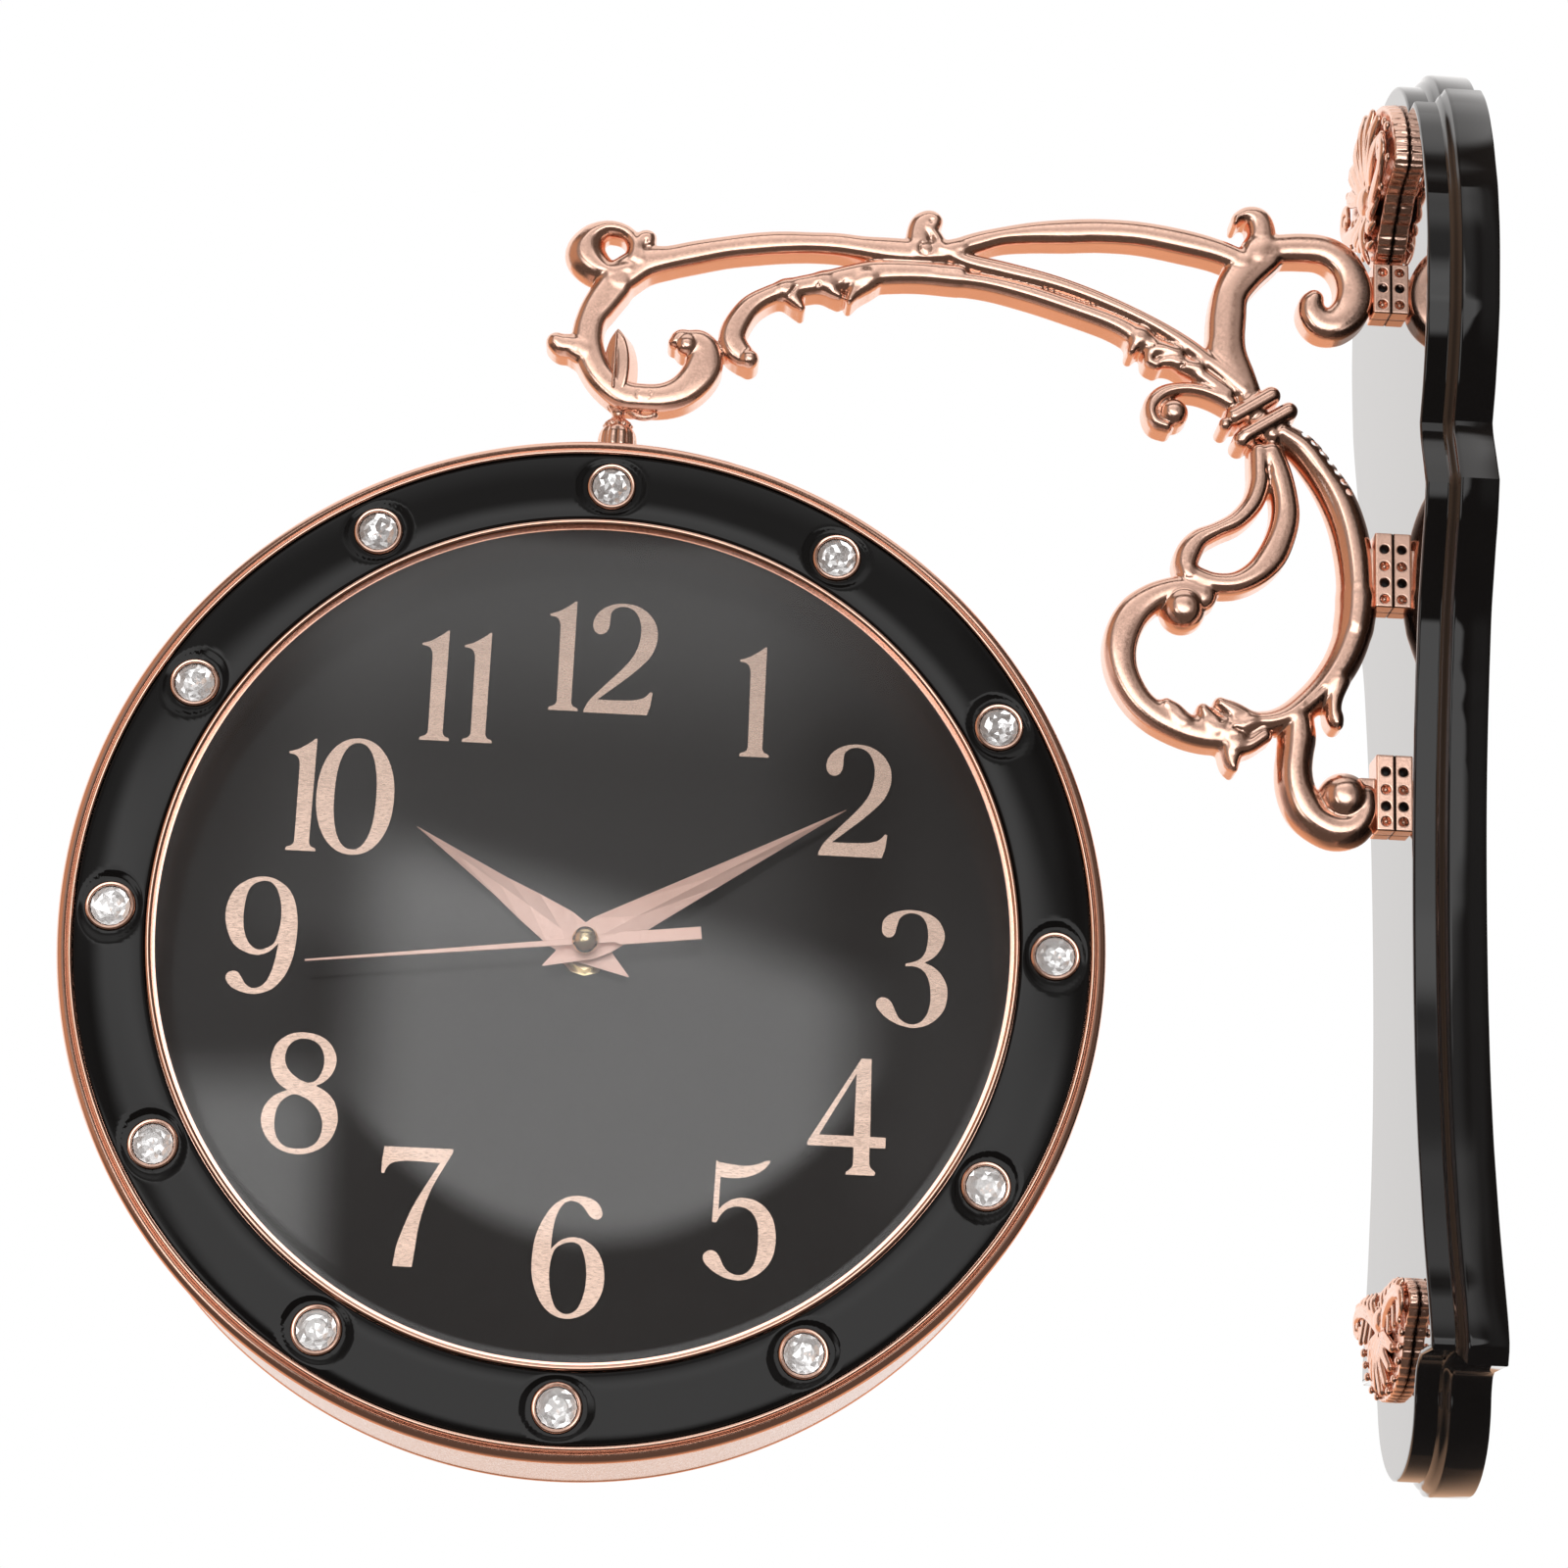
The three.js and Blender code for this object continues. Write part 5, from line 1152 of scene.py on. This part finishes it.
def pavilion(cx, cz, dirn, turn):
    """Foiled underside of the stone, seen through the crown: rings of facets tilted this way and that."""
    def pt(r, a, h):
        return (cx - dirn * r * math.sin(a), dirn * h, cz + r * math.cos(a))
    rng = np.random.RandomState(int(turn * 10) + 7)
    rings = [(5.05, 30.78, 16, 0.0), (4.0, 30.45, 16, 0.5), (3.0, 30.15, 16, 0.0), (1.9, 29.95, 8, 0.5), (0.9, 30.05, 8, 0.0)]
    v, f, at = [], [], []
    for r, h, n, o in rings:
        at.append(len(v))
        for i in range(n):
            j = rng.uniform(-0.3, 0.3) if r < 5 else 0.0
            v.append(pt(r + j * 0.6, turn + (i + o) * 2 * math.pi / n, h + j))
    v.append(pt(0, 0, 29.8))
    for k in range(len(rings) - 1):
        n, m = rings[k][2], rings[k + 1][2]
        for i in range(n):
            a, b = at[k] + i, at[k] + (i + 1) % n
            if n == m:
                o = 0 if rings[k + 1][3] else 1
                c = at[k + 1] + (i + o) % m
                d = at[k + 1] + (i + 1 + o) % m if not rings[k + 1][3] else at[k + 1] + (i + 1) % m
                if rings[k + 1][3]:
                    f.append((a, b, c))
                    f.append((b, at[k + 1] + (i + 1) % m, c))
                else:
                    c = at[k + 1] + i
                    d = at[k + 1] + (i + 1) % m
                    f.append((a, b, d))
                    f.append((a, d, c))
            else:
                if i % 2 == 0:
                    c = at[k + 1] + i // 2
                    f.append((a, b, c))
                    f.append((b, at[k] + (i + 2) % n, c))
                    f.append((at[k] + (i + 2) % n, at[k + 1] + (i // 2 + 1) % m, c))
    k = len(rings) - 1
    n = rings[k][2]
    for i in range(n):
        f.append((at[k] + i, at[k] + (i + 1) % n, len(v) - 1))
    base = len(v)
    for i in range(16):
        v.append(pt(5.05, turn + i * 2 * math.pi / 16, 29.4))
    for i in range(16):
        j = (i + 1) % 16
        f.append((i, j, base + j, base + i))
    f.append(tuple(base + i for i in range(16)))
    return v, f


CUP = [(0, 28.5), (3.6, 28.7), (5.0, 29.2), (5.2, 30.9), (5.3, 31.35), (5.6, 31.65), (5.95, 31.7), (6.3, 31.45), (6.5, 31.0),
       (6.55, 30.2), (6.6, 28.2), (0, 28.2)]


def dome(r0, r1, top, rim, n, inner=False):
    """Spherical cap profile from radius r0 out to r1."""
    s = top - rim
    R = (r1 * r1 + s * s) / (2 * s)
    rs = np.linspace(r0, r1, n)
    return [(float(r), float(top - R + math.sqrt(R * R - r * r))) for r in rs]


# numeral outlines, drawn in eleventh parts of a millimetre, y downwards; a third number marks a corner
ONE = [[(213, 28, 1), (207, 29, 1), (197, 38), (180, 50), (160, 62), (140, 69), (134, 71, 1), (136, 77, 1), (150, 79), (160, 86),
        (165, 97), (167, 112), (168, 335), (166, 346), (158, 354), (147, 358), (144, 362, 1), (144, 368, 1), (231, 368, 1),
        (231, 362, 1), (227, 358), (217, 354), (212, 346), (211, 335)]]
TWO = [[(97, 98), (104, 70), (126, 46), (156, 32), (189, 28), (226, 34), (259, 54), (282, 85), (290, 120), (286, 155), (271, 190),
        (246, 220), (216, 249), (186, 275), (156, 300), (121, 329, 1), (166, 329), (226, 326), (256, 318), (270, 306),
        (276, 298, 1), (283, 300, 1), (278, 340), (269, 370, 1), (82, 370, 1), (83, 361, 1), (96, 335), (126, 300), (156, 268),
        (186, 236), (211, 205), (228, 175), (238, 140), (240, 102), (232, 70), (216, 48), (191, 38), (166, 42), (150, 57),
        (147, 80), (145, 104), (136, 121), (120, 127), (104, 119)]]
THREE = [[(98, 88), (102, 62), (122, 42), (157, 30), (192, 28), (232, 36), (262, 55), (277, 80), (282, 105), (274, 135),
          (257, 160), (240, 174), (224, 182, 1), (252, 195), (274, 215), (290, 245), (294, 275), (287, 315), (267, 345),
          (237, 367), (197, 377), (157, 370), (122, 353), (97, 330), (88, 314), (90, 300), (103, 291), (120, 294), (133, 306),
          (142, 325), (154, 348), (172, 362), (195, 367), (219, 358), (236, 335), (244, 305), (245, 275), (240, 240), (227, 212),
          (207, 198), (187, 195), (170, 196, 1), (170, 188, 1), (192, 182), (212, 172), (226, 152), (232, 125), (233, 95),
          (227, 65), (212, 45), (190, 37), (167, 40), (149, 55), (141, 80), (136, 101), (127, 111), (114, 112), (102, 103)]]
FOUR = [[(223, 30, 1), (252, 30, 1), (255, 256, 1), (300, 257, 1), (299, 288, 1), (254, 288, 1), (255, 333), (259, 346),
         (269, 354), (273, 360), (270, 368, 1), (188, 368, 1), (189, 360, 1), (198, 353), (206, 344), (208, 330), (208, 288, 1),
         (76, 288, 1), (75, 278, 1)],
        [(210, 75, 1), (108, 256, 1), (208, 256, 1)]]
FIVE = [[(115, 30, 1), (122, 35), (150, 39), (190, 43), (225, 39), (255, 27), (268, 24, 1), (268, 31, 1), (255, 48), (230, 65),
         (200, 76), (165, 80), (129, 78, 1), (127, 171, 1), (145, 153), (165, 141), (195, 135), (230, 141), (260, 160),
         (283, 193), (293, 243), (288, 293), (268, 331), (235, 358), (195, 370), (155, 365), (120, 348), (97, 328), (88, 310),
         (93, 296), (107, 288), (122, 291), (135, 305), (145, 326), (160, 345), (185, 355), (210, 350), (230, 328), (241, 293),
         (243, 243), (238, 203), (222, 176), (200, 163), (175, 161), (150, 170), (133, 188), (125, 203), (121, 209), (110, 207, 1)]]
SIX = [[(279, 73), (278, 85), (268, 94), (254, 92), (242, 83), (231, 68), (216, 52), (194, 44), (174, 49), (158, 68), (147, 98),
        (141, 138), (139, 183, 1), (156, 165), (174, 153), (201, 147), (231, 153), (266, 178), (286, 213), (294, 258), (288, 303),
        (266, 343), (231, 369), (193, 378), (156, 369), (126, 345), (104, 308), (90, 263), (87, 213), (93, 153), (111, 103),
        (138, 61), (171, 37), (206, 29), (241, 34), (266, 48)],
       [(196, 161), (171, 168), (151, 183), (141, 213), (138, 253), (144, 303), (161, 348), (191, 365), (221, 350), (238, 308),
        (243, 258), (238, 213), (226, 178), (216, 166)]]
SEVEN = [[(85, 30, 1), (280, 30, 1), (280, 40, 1), (252, 93), (227, 143), (207, 203), (195, 263), (189, 323), (184, 370, 1),
          (130, 369, 1), (137, 313), (152, 263), (172, 208), (197, 158), (222, 113), (245, 71, 1), (182, 69), (137, 70),
          (107, 78), (94, 93), (89, 107, 1), (81, 106, 1), (81, 73)]]
EIGHT = [[(191, 30), (228, 36), (260, 55), (280, 85), (285, 113), (276, 145), (256, 169), (232, 183, 1), (263, 200), (286, 225),
          (298, 258), (300, 288), (288, 328), (263, 358), (228, 376), (190, 382), (148, 373), (113, 350), (91, 318), (83, 283),
          (90, 248), (113, 218), (136, 205), (152, 199, 1), (128, 183), (110, 161), (100, 133), (99, 103), (110, 68), (136, 43),
          (163, 32)],
         [(191, 48), (168, 52), (148, 68), (139, 93), (140, 118), (153, 143), (178, 163), (208, 175), (230, 168), (243, 148),
          (250, 123), (248, 93), (236, 68), (216, 53)],
         [(170, 210), (143, 225), (128, 248), (122, 278), (124, 313), (136, 343), (158, 361), (190, 366), (223, 361), (246, 343),
          (257, 313), (256, 283), (243, 253), (218, 228), (193, 215)]]
NINE = [[(185, 30), (215, 36), (250, 58), (273, 91), (286, 141), (289, 196), (283, 261), (265, 316), (235, 356), (200, 374),
         (170, 378), (135, 371), (108, 356), (95, 336), (98, 321), (112, 313), (128, 316), (140, 331), (152, 349), (170, 360),
         (190, 358), (210, 341), (225, 306), (233, 266), (238, 226, 1), (222, 244), (205, 256), (178, 263), (145, 256),
         (110, 234), (90, 196), (80, 151), (85, 106), (105, 66), (135, 43), (160, 33)],
        [(183, 43), (155, 54), (140, 76), (133, 116), (132, 156), (138, 196), (155, 231), (180, 247), (205, 241), (225, 226),
         (235, 196), (240, 156), (237, 111), (225, 71), (208, 49)]]


def oval(cx, cy, a, b, p, n=44):
    out = []
    for i in range(n):
        t = 2 * math.pi * i / n
        c, s_ = math.cos(t), math.sin(t)
        out.append((cx + a * math.copysign(abs(c) ** (2 / p), c), cy + b * math.copysign(abs(s_) ** (2 / p), s_)))
    return out


ZERO = [oval(228, 199, 113, 176, 2.15), oval(228, 198, 61, 161, 2.3)]
GLYPHS = [  # centre on the dial, then outlines with a shift
    ((42.1, 70.1), [(ONE, 0, 0)]), ((69.8, 44.1), [(TWO, 0, 0)]), ((86.0, -0.8), [(THREE, 0, 0)]),
    ((70.4, -41.2), [(FOUR, 0, 0)]), ((43.4, -69.7), [(FIVE, 0, 0)]), ((-0.3, -80.8), [(SIX, 0, 0)]),
    ((-39.7, -70.1), [(SEVEN, 0, 0)]), ((-71.8, -41.3), [(EIGHT, 0, 0)]), ((-84.9, -0.1), [(NINE, 0, 0)]),
    ((-66.8, 38.3), [(ONE, -107, 2), (ZERO, 0, 0)]), ((-37.8, 70.0), [(ONE, -61, -2), (ONE, 64, -2)]),
    ((0.4, 80.7), [(ONE, -110, 4), (TWO, 56, 4)]),
]


def smooth_outline(pts, step=7.0):
    """Closed outline through the points, bending smoothly except at the marked corners."""
    n = len(pts)
    out = []
    for i in range(n):
        p1, p2 = pts[i], pts[(i + 1) % n]
        p0, p3 = pts[i - 1], pts[(i + 2) % n]
        a, b = np.array(p1[:2], float), np.array(p2[:2], float)
        prev = 2 * a - b if len(p1) > 2 else np.array(p0[:2], float)
        nxt = 2 * b - a if len(p2) > 2 else np.array(p3[:2], float)
        d = np.linalg.norm(b - a)
        k = max(1, int(round(d / step))) if not (len(p1) > 2 and len(p2) > 2) else 1
        # tangents limited so that long straight edges stay straight
        ta = (b - prev) * 0.5
        tb = (nxt - a) * 0.5
        for t_ in (ta, tb):
            L = np.linalg.norm(t_)
            if L > d:
                t_ *= d / L
        for j in range(k):
            t = j / k
            h1 = 2 * t ** 3 - 3 * t * t + 1
            h2 = t ** 3 - 2 * t * t + t
            h3 = -2 * t ** 3 + 3 * t * t
            h4 = t ** 3 - t * t
            out.append(tuple(h1 * a + h2 * ta + h3 * b + h4 * tb))
    return out


for side, dirn in (("front", -1), ("back", 1)):
    body = side + "_face"
    Y = axis_y(CX, CZ, dirn)
    turned(side + "_bezel_ring", BEZEL, Y, ROSE_RIM, body, 288, (side + "_bezel",), 32)
    polar_ring(side + "_black_ring", 112.5, 130.65, dish, 28.25, BLACK, body, dirn, (side + "_insert",))
    for no, ((gu, gv), parts) in enumerate(GLYPHS, 1):
        for part_no, (glyph, sx, sy) in enumerate(parts):
            loops = []
            for loop in glyph:
                pts = smooth_outline([(p[0] + sx, p[1] + sy) + tuple(p[2:]) for p in loop])
                loops.append([(gu + (x - 187) / 11, gv + (203.5 - y) / 11) for x, y in pts])
            prism("%s_numeral_%02d_%d" % (side, no, part_no), loops[0], loops[1:],
                  lambda u, v, w, dirn=dirn: (CX - dirn * u, dirn * w, CZ + v), DIAL_FACE - 0.05, DIAL_FACE + 0.12, INK, "front_face")
    lens_prof = dome(0, 110.7, 41.8, 30.3, 28) + [(110.7, 28.7)] + dome(0, 109.6, 39.8, 28.7, 28)[::-1]
    turned(side + "_dome", lens_prof, Y, LENS, body, 192, (side + "_lens",), 40)
    for i in range(1, 13):
        a = math.radians(i * 30 + 0.27)
        x, z = CX - dirn * PITCH * math.sin(a), CZ + PITCH * math.cos(a)
        turned("%s_cup_%02d" % (side, i), CUP, axis_y(x, z, dirn), ROSE_CUP, body, 40)
        v, f = stone(x, z, dirn, i * 1.7)
        o = make("%s_stone_%02d" % (side, i), v, f, STONE, body, False, ("%s_crystal_%02d" % (side, i),))
        outward(o)
        v, f = pavilion(x, z, dirn, i * 1.7)
        o = make("%s_foil_%02d" % (side, i), v, f, FOIL, body, False)
        outward(o)

# ------------------------------------------------------------------ hands
def hand_mesh(name, deg, outline, ridge, level, thick, rise, dirn, mat, body, node, pipe=None):
    """Leaf outline [across, along] at the back, with side walls up to each point's height; the ridge line [along] adds
    points raised in the middle, which no face uses.
    """
    t = math.radians(deg)

    def place(across, along, h):
        s = along * math.sin(t) + across * math.cos(t)
        c = along * math.cos(t) - across * math.sin(t)
        return (CX - dirn * s, dirn * h, CZ + c)

    v, f = [], []
    m = len(outline)
    for a, l, top in outline:
        v.append(place(a, l, level))
    for a, l, top in outline:
        v.append(place(a, l, level + top))
    base = len(v)
    for l, top in ridge:
        v.append(place(0, l, level + top))
    f.append(tuple(range(m)))
    for i in range(m):
        j = (i + 1) % m
        f.append((i, j, m + j, m + i))
    return v, f, base


def leaf_hand(name, deg, tip, tail, half, at, level, body, node, dirn):
    """Pointed leaf hand, widest at `at`, with a ridge from the tip that fades at the hub."""
    t = math.radians(deg)

    def place(across, along, h):
        s = along * math.sin(t) + across * math.cos(t)
        c = along * math.cos(t) - across * math.sin(t)
        return (CX - dirn * s, dirn * h, CZ + c)

    stations = [(tip, 0.06, 0.10), (tip * 0.75, half * 0.262, 0.55), (tip * 0.5, half * 0.524, 0.8),
                (at + 10, half * (1 - 10 / (tip - at)), 0.8), (at, half, 0.35), (0, half * 0.90, 0.0),
                (-tail * 0.5, half * 0.46, 0.0), (-tail, 0.12, 0.0)]
    stations.sort(key=lambda s: -s[0])
    v, f = [], []
    for along, w, r in stations:
        v += [place(-w, along, level), place(w, along, level), place(w, along, level + 0.35),
              place(0, along, level + 0.35 + r), place(-w, along, level + 0.35)]
    n = len(stations)
    for i in range(n - 1):
        a, b = 5 * i, 5 * (i + 1)
        for p in range(5):
            q = (p + 1) % 5
            f.append((a + p, a + q, b + q, b + p))
    f.append((0, 1, 2, 3, 4))
    f.append(tuple(5 * (n - 1) + p for p in range(5)))
    o = make(name, v, f, HAND, body, False, (node,))
    outward(o)
    return o


for side, dirn in (("front", -1), ("back", 1)):
    Y = axis_y(CX, CZ, dirn)
    leaf_hand(side + "_hour_leaf", 303.2, 54.8, 14.0, 5.5, 8.0, 13.4, side + "_hour", side + "_hour_hand", dirn)
    turned(side + "_hour_pipe", [(2.0, 9.6), (2.7, 9.6), (2.7, 13.4), (2.0, 13.4)], Y, BRASS, side + "_hour", 32)
    leaf_hand(side + "_minute_leaf", 59.4, 77.7, 12.6, 5.2, 5.0, 16.4, side + "_minute", side + "_minute_hand", dirn)
    turned(side + "_minute_pipe", [(1.1, 9.6), (1.7, 9.6), (1.7, 16.4), (1.1, 16.4)], Y, BRASS, side + "_minute", 32)
    # second hand: needle, counterweight bar, round cap
    t = math.radians(263.1)

    def place(u, v, w, dirn=dirn, t=t):
        return (CX - dirn * (v * math.sin(t) + u * math.cos(t)), dirn * w, CZ + v * math.cos(t) - u * math.sin(t))

    needle = [(0.28, 72.6), (0.8, 5), (0.95, -7.5), (1.7, -9.2), (1.7, -30.3), (-1.7, -30.3), (-1.7, -9.2), (-0.95, -7.5), (-0.8, 5), (-0.28, 72.6)]
    prism(side + "_second_needle", needle, [], place, 19.4, 19.95, HAND, side + "_second", (side + "_second_hand",), 0.12)
    cap = [(0, 19.95), (3.3, 19.95), (3.45, 20.3), (3.45, 21.6), (3.2, 22.4), (2.6, 23.2), (1.7, 23.8), (0.8, 24.05), (0, 24.1)]
    turned(side + "_second_cap", cap, Y, BRASS, side + "_second", 48)
    turned(side + "_second_pin", [(0, 9.6), (0.8, 9.6), (0.8, 19.6), (0, 19.6)], Y, BRASS, side + "_second", 16)

# ------------------------------------------------------------------ side band and its hanger fittings
def band_point(u, v, w):
    """u along the band from the top, v across it, w out from the clock axis."""
    t = u / 134.6
    return (CX + w * math.sin(t), v, CZ + w * math.cos(t))


def side_strip(name, half=26.4, outer=134.6, inner=133.4, segs=288):
    """Thin metal strip bent into a ring, with the round hole for the hanger."""
    mid, reach = 134.6 * math.asin((SX - CX) / 134.6), 5.2
    turn = 2 * math.pi * 134.6
    us = [mid + reach + (turn - 2 * reach) * i / segs for i in range(segs)] + [mid - reach]
    verts, faces = [], []
    for u in us:
        verts += [band_point(u, -half, outer), band_point(u, half, outer), band_point(u, half, inner), band_point(u, -half, inner)]
    for i in range(segs):
        a, b = 4 * i, 4 * i + 4
        for k in range(4):
            m = (k + 1) % 4
            faces.append((a + k, b + k, b + m, a + m))
    edge = [(mid - reach, -half), (mid + reach, -half), (mid + reach, half), (mid - reach, half)]
    hole = [(mid + 4.2 * math.cos(q * math.pi / 20), 4.2 * math.sin(q * math.pi / 20)) for q in range(40)]
    flat = edge + hole
    tris = tessellate_polygon([[Vector((p[0], p[1], 0)) for p in loop] for loop in (edge, hole)])
    at, n = len(verts), len(flat)
    verts += [band_point(u, v, outer) for u, v in flat] + [band_point(u, v, inner) for u, v in flat]
    faces += [tuple(at + i for i in t) for t in tris] + [tuple(at + n + i for i in t[::-1]) for t in tris]
    faces += [(at + a, at + b, at + b + n, at + a + n) for a, b in ((0, 1), (2, 3))]
    faces += [(at + 4 + q, at + 4 + (q + 1) % 40, at + n + 4 + (q + 1) % 40, at + n + 4 + q) for q in range(40)]
    o = make(name, verts, faces, BAND, "clock_case", True, ("side_band",))
    outward(o)
    sharpen(o, 35)
    return o


side_strip("side_band_strip")
turned("hanger_collar", [(2.45, 61.75), (3.75, 61.75), (3.9, 61.9), (3.9, 66.8), (6.8, 66.8), (6.8, 67.45), (6.65, 67.75),
                         (6.35, 67.88), (2.75, 67.88), (2.45, 67.6)],
       axis_z(SX, 0), BRASS, "clock_case", 96, ("hanger_bush",))
prism("stem_lock_nut", [(4.7 * math.cos(q * math.pi / 3), 4.7 * math.sin(q * math.pi / 3)) for q in range(6)],
      [[(2.03 * math.cos(q * math.pi / 20), 2.03 * math.sin(q * math.pi / 20)) for q in range(40)]],
      lambda u, v, w: (SX + u, v, w), 58.3, 61.55, STEEL, "wall_bracket", ("stem_nut",), 0.22)

# ------------------------------------------------------------------ CAD nodes that stay, with their finishes
FINISH = {
    "front_dial": DIAL, "back_dial": DIAL, "movement_case": MATTE, "battery_box": MATTE, "battery_cell": CELL,
    "set_knob": MATTE, "bracket_screw_1": STEEL,
    "bracket_screw_2": STEEL, "bracket_screw_3": STEEL, "back_board": BOARD, "front_nut": BRASS, "back_nut": BRASS,
    "front_washer": BRASS, "back_washer": BRASS,
}
for node, mat in FINISH.items():
    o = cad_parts[node]
    o.data.materials.clear()
    o.data.materials.append(mat)

# ------------------------------------------------------------------ studio
floor_v, floor_f = lathe([(0, -450.0), (300, -450.0), (900, -450.0), (1600, -450.0), (1600, -452.0), (0, -452.0)], 96, axis_z(-150, 0))
FLOOR = material("floor_pale", (0.86, 0.86, 0.865, 1), 0.6, 0.0, spread=0.01, grain=60, bump=0.0)
floor = make("floor", floor_v, floor_f, FLOOR, None, True)
outward(floor)

world = bpy.data.worlds.new("studio")
bpy.context.scene.world = world
world.use_nodes = True
wt = world.node_tree
wt.nodes.clear()
w = Nodes(wt)
wout = w.add("ShaderNodeOutputWorld")
bg_seen = w.add("ShaderNodeBackground", ins={"Color": (1, 1, 1, 1), "Strength": 1.0})
bg_lit = w.add("ShaderNodeBackground")
dirv = w.add("ShaderNodeTexCoord").outputs["Generated"]
sep = w.add("ShaderNodeSeparateXYZ")
wt.links.new(dirv, sep.inputs[0])
X, Yc, Z = sep.outputs
el = w.math("MULTIPLY", w.math("ARCSINE", Z), 57.29578)
az = w.math("MULTIPLY", w.math("ARCTAN2", X, w.math("MULTIPLY", Yc, -1.0)), 57.29578)


def window(v, a, b, soft):
    lo = w.span(v, a - soft, a + soft)
    hi = w.span(v, b - soft, b + soft, 1.0, 0.0)
    return w.math("MULTIPLY", lo, hi)


def both(*parts):
    v = parts[0]
    for p in parts[1:]:
        v = w.math("MULTIPLY", v, p)
    return v


def plus(*parts):
    v = parts[0]
    for p in parts[1:]:
        v = w.math("ADD", v, p)
    return v


az2 = w.math("MULTIPLY", az, az)
el_low = plus(el, w.math("MULTIPLY", az2, -0.03), w.math("MULTIPLY", az, 0.02))
el_up = w.math("ADD", el, w.math("MULTIPLY", az, 0.25))
low_box = both(w.span(el_low, -10.0, -7.0), w.span(el_up, 11.5, 17.5, 1.0, 0.0), window(az, -15.5, 18.0, 4.0))
field = both(w.span(el, 9.0, 14.0), w.span(el, 41.0, 42.6, 1.0, 0.0), window(az, -23.0, 15.0, 6.0))
rising = both(w.span(el, 24.0, 37.0), w.span(el, 41.0, 42.6, 1.0, 0.0), window(az, -26.0, 23.0, 6.0))
side_glow = both(window(el, -6.0, 40.0, 6.0), w.math("ADD", window(az, -44.0, -18.0, 6.0), window(az, 20.0, 34.0, 4.0)))
spot = both(window(el, -15.0, 1.5, 3.0), window(az, -31.0, -18.5, 2.5))
back = w.span(w.math("ABSOLUTE", az), 100.0, 118.0)
back_high = both(back, w.span(el, -13.0, -8.0), w.span(el, 50.0, 75.0, 1.0, 0.75))
back_low = both(back, w.span(el, -13.0, -8.0, 1.0, 0.0), w.span(el, -75.0, -32.0, 0.2, 1.0))
crown = both(w.math("SUBTRACT", 1.0, back), w.span(el, 53.0, 62.0))
left = both(window(az, -104.0, -46.0, 8.0), window(el, -14.0, 45.0, 10.0))
cool = plus(w.math("MULTIPLY", low_box, 2.3), w.math("MULTIPLY", field, 0.5), w.math("MULTIPLY", rising, 0.75),
            w.math("MULTIPLY", spot, 2.1), w.math("MULTIPLY", side_glow, 0.2), back_high, w.math("MULTIPLY", crown, 0.85), 0.05)
warm = plus(w.math("MULTIPLY", back_low, 0.72), w.math("MULTIPLY", left, 0.42), 0.055)
tint = w.add("ShaderNodeMix", data_type="RGBA", blend_type="ADD")
tint.inputs[0].default_value = 1.0
tint.clamp_result = False
cool_c = w.add("ShaderNodeVectorMath", operation="SCALE", ins={0: (1.0, 1.0, 1.0)})
wt.links.new(cool, cool_c.inputs["Scale"])
warm_c = w.add("ShaderNodeVectorMath", operation="SCALE", ins={0: (1.0, 0.57, 0.34)})
wt.links.new(warm, warm_c.inputs["Scale"])
total = w.add("ShaderNodeVectorMath", operation="ADD")
wt.links.new(cool_c.outputs[0], total.inputs[0])
wt.links.new(warm_c.outputs[0], total.inputs[1])
wt.links.new(total.outputs[0], bg_lit.inputs["Color"])
bg_lit.inputs["Strength"].default_value = 1.0
wt.nodes.remove(tint)
floor.visible_glossy = False
lp = w.add("ShaderNodeLightPath")
mx = w.add("ShaderNodeMixShader")
wt.links.new(lp.outputs["Is Camera Ray"], mx.inputs[0])
wt.links.new(bg_lit.outputs[0], mx.inputs[1])
wt.links.new(bg_seen.outputs[0], mx.inputs[2])
wt.links.new(mx.outputs[0], wout.inputs[0])

bpy.context.view_layer.update()
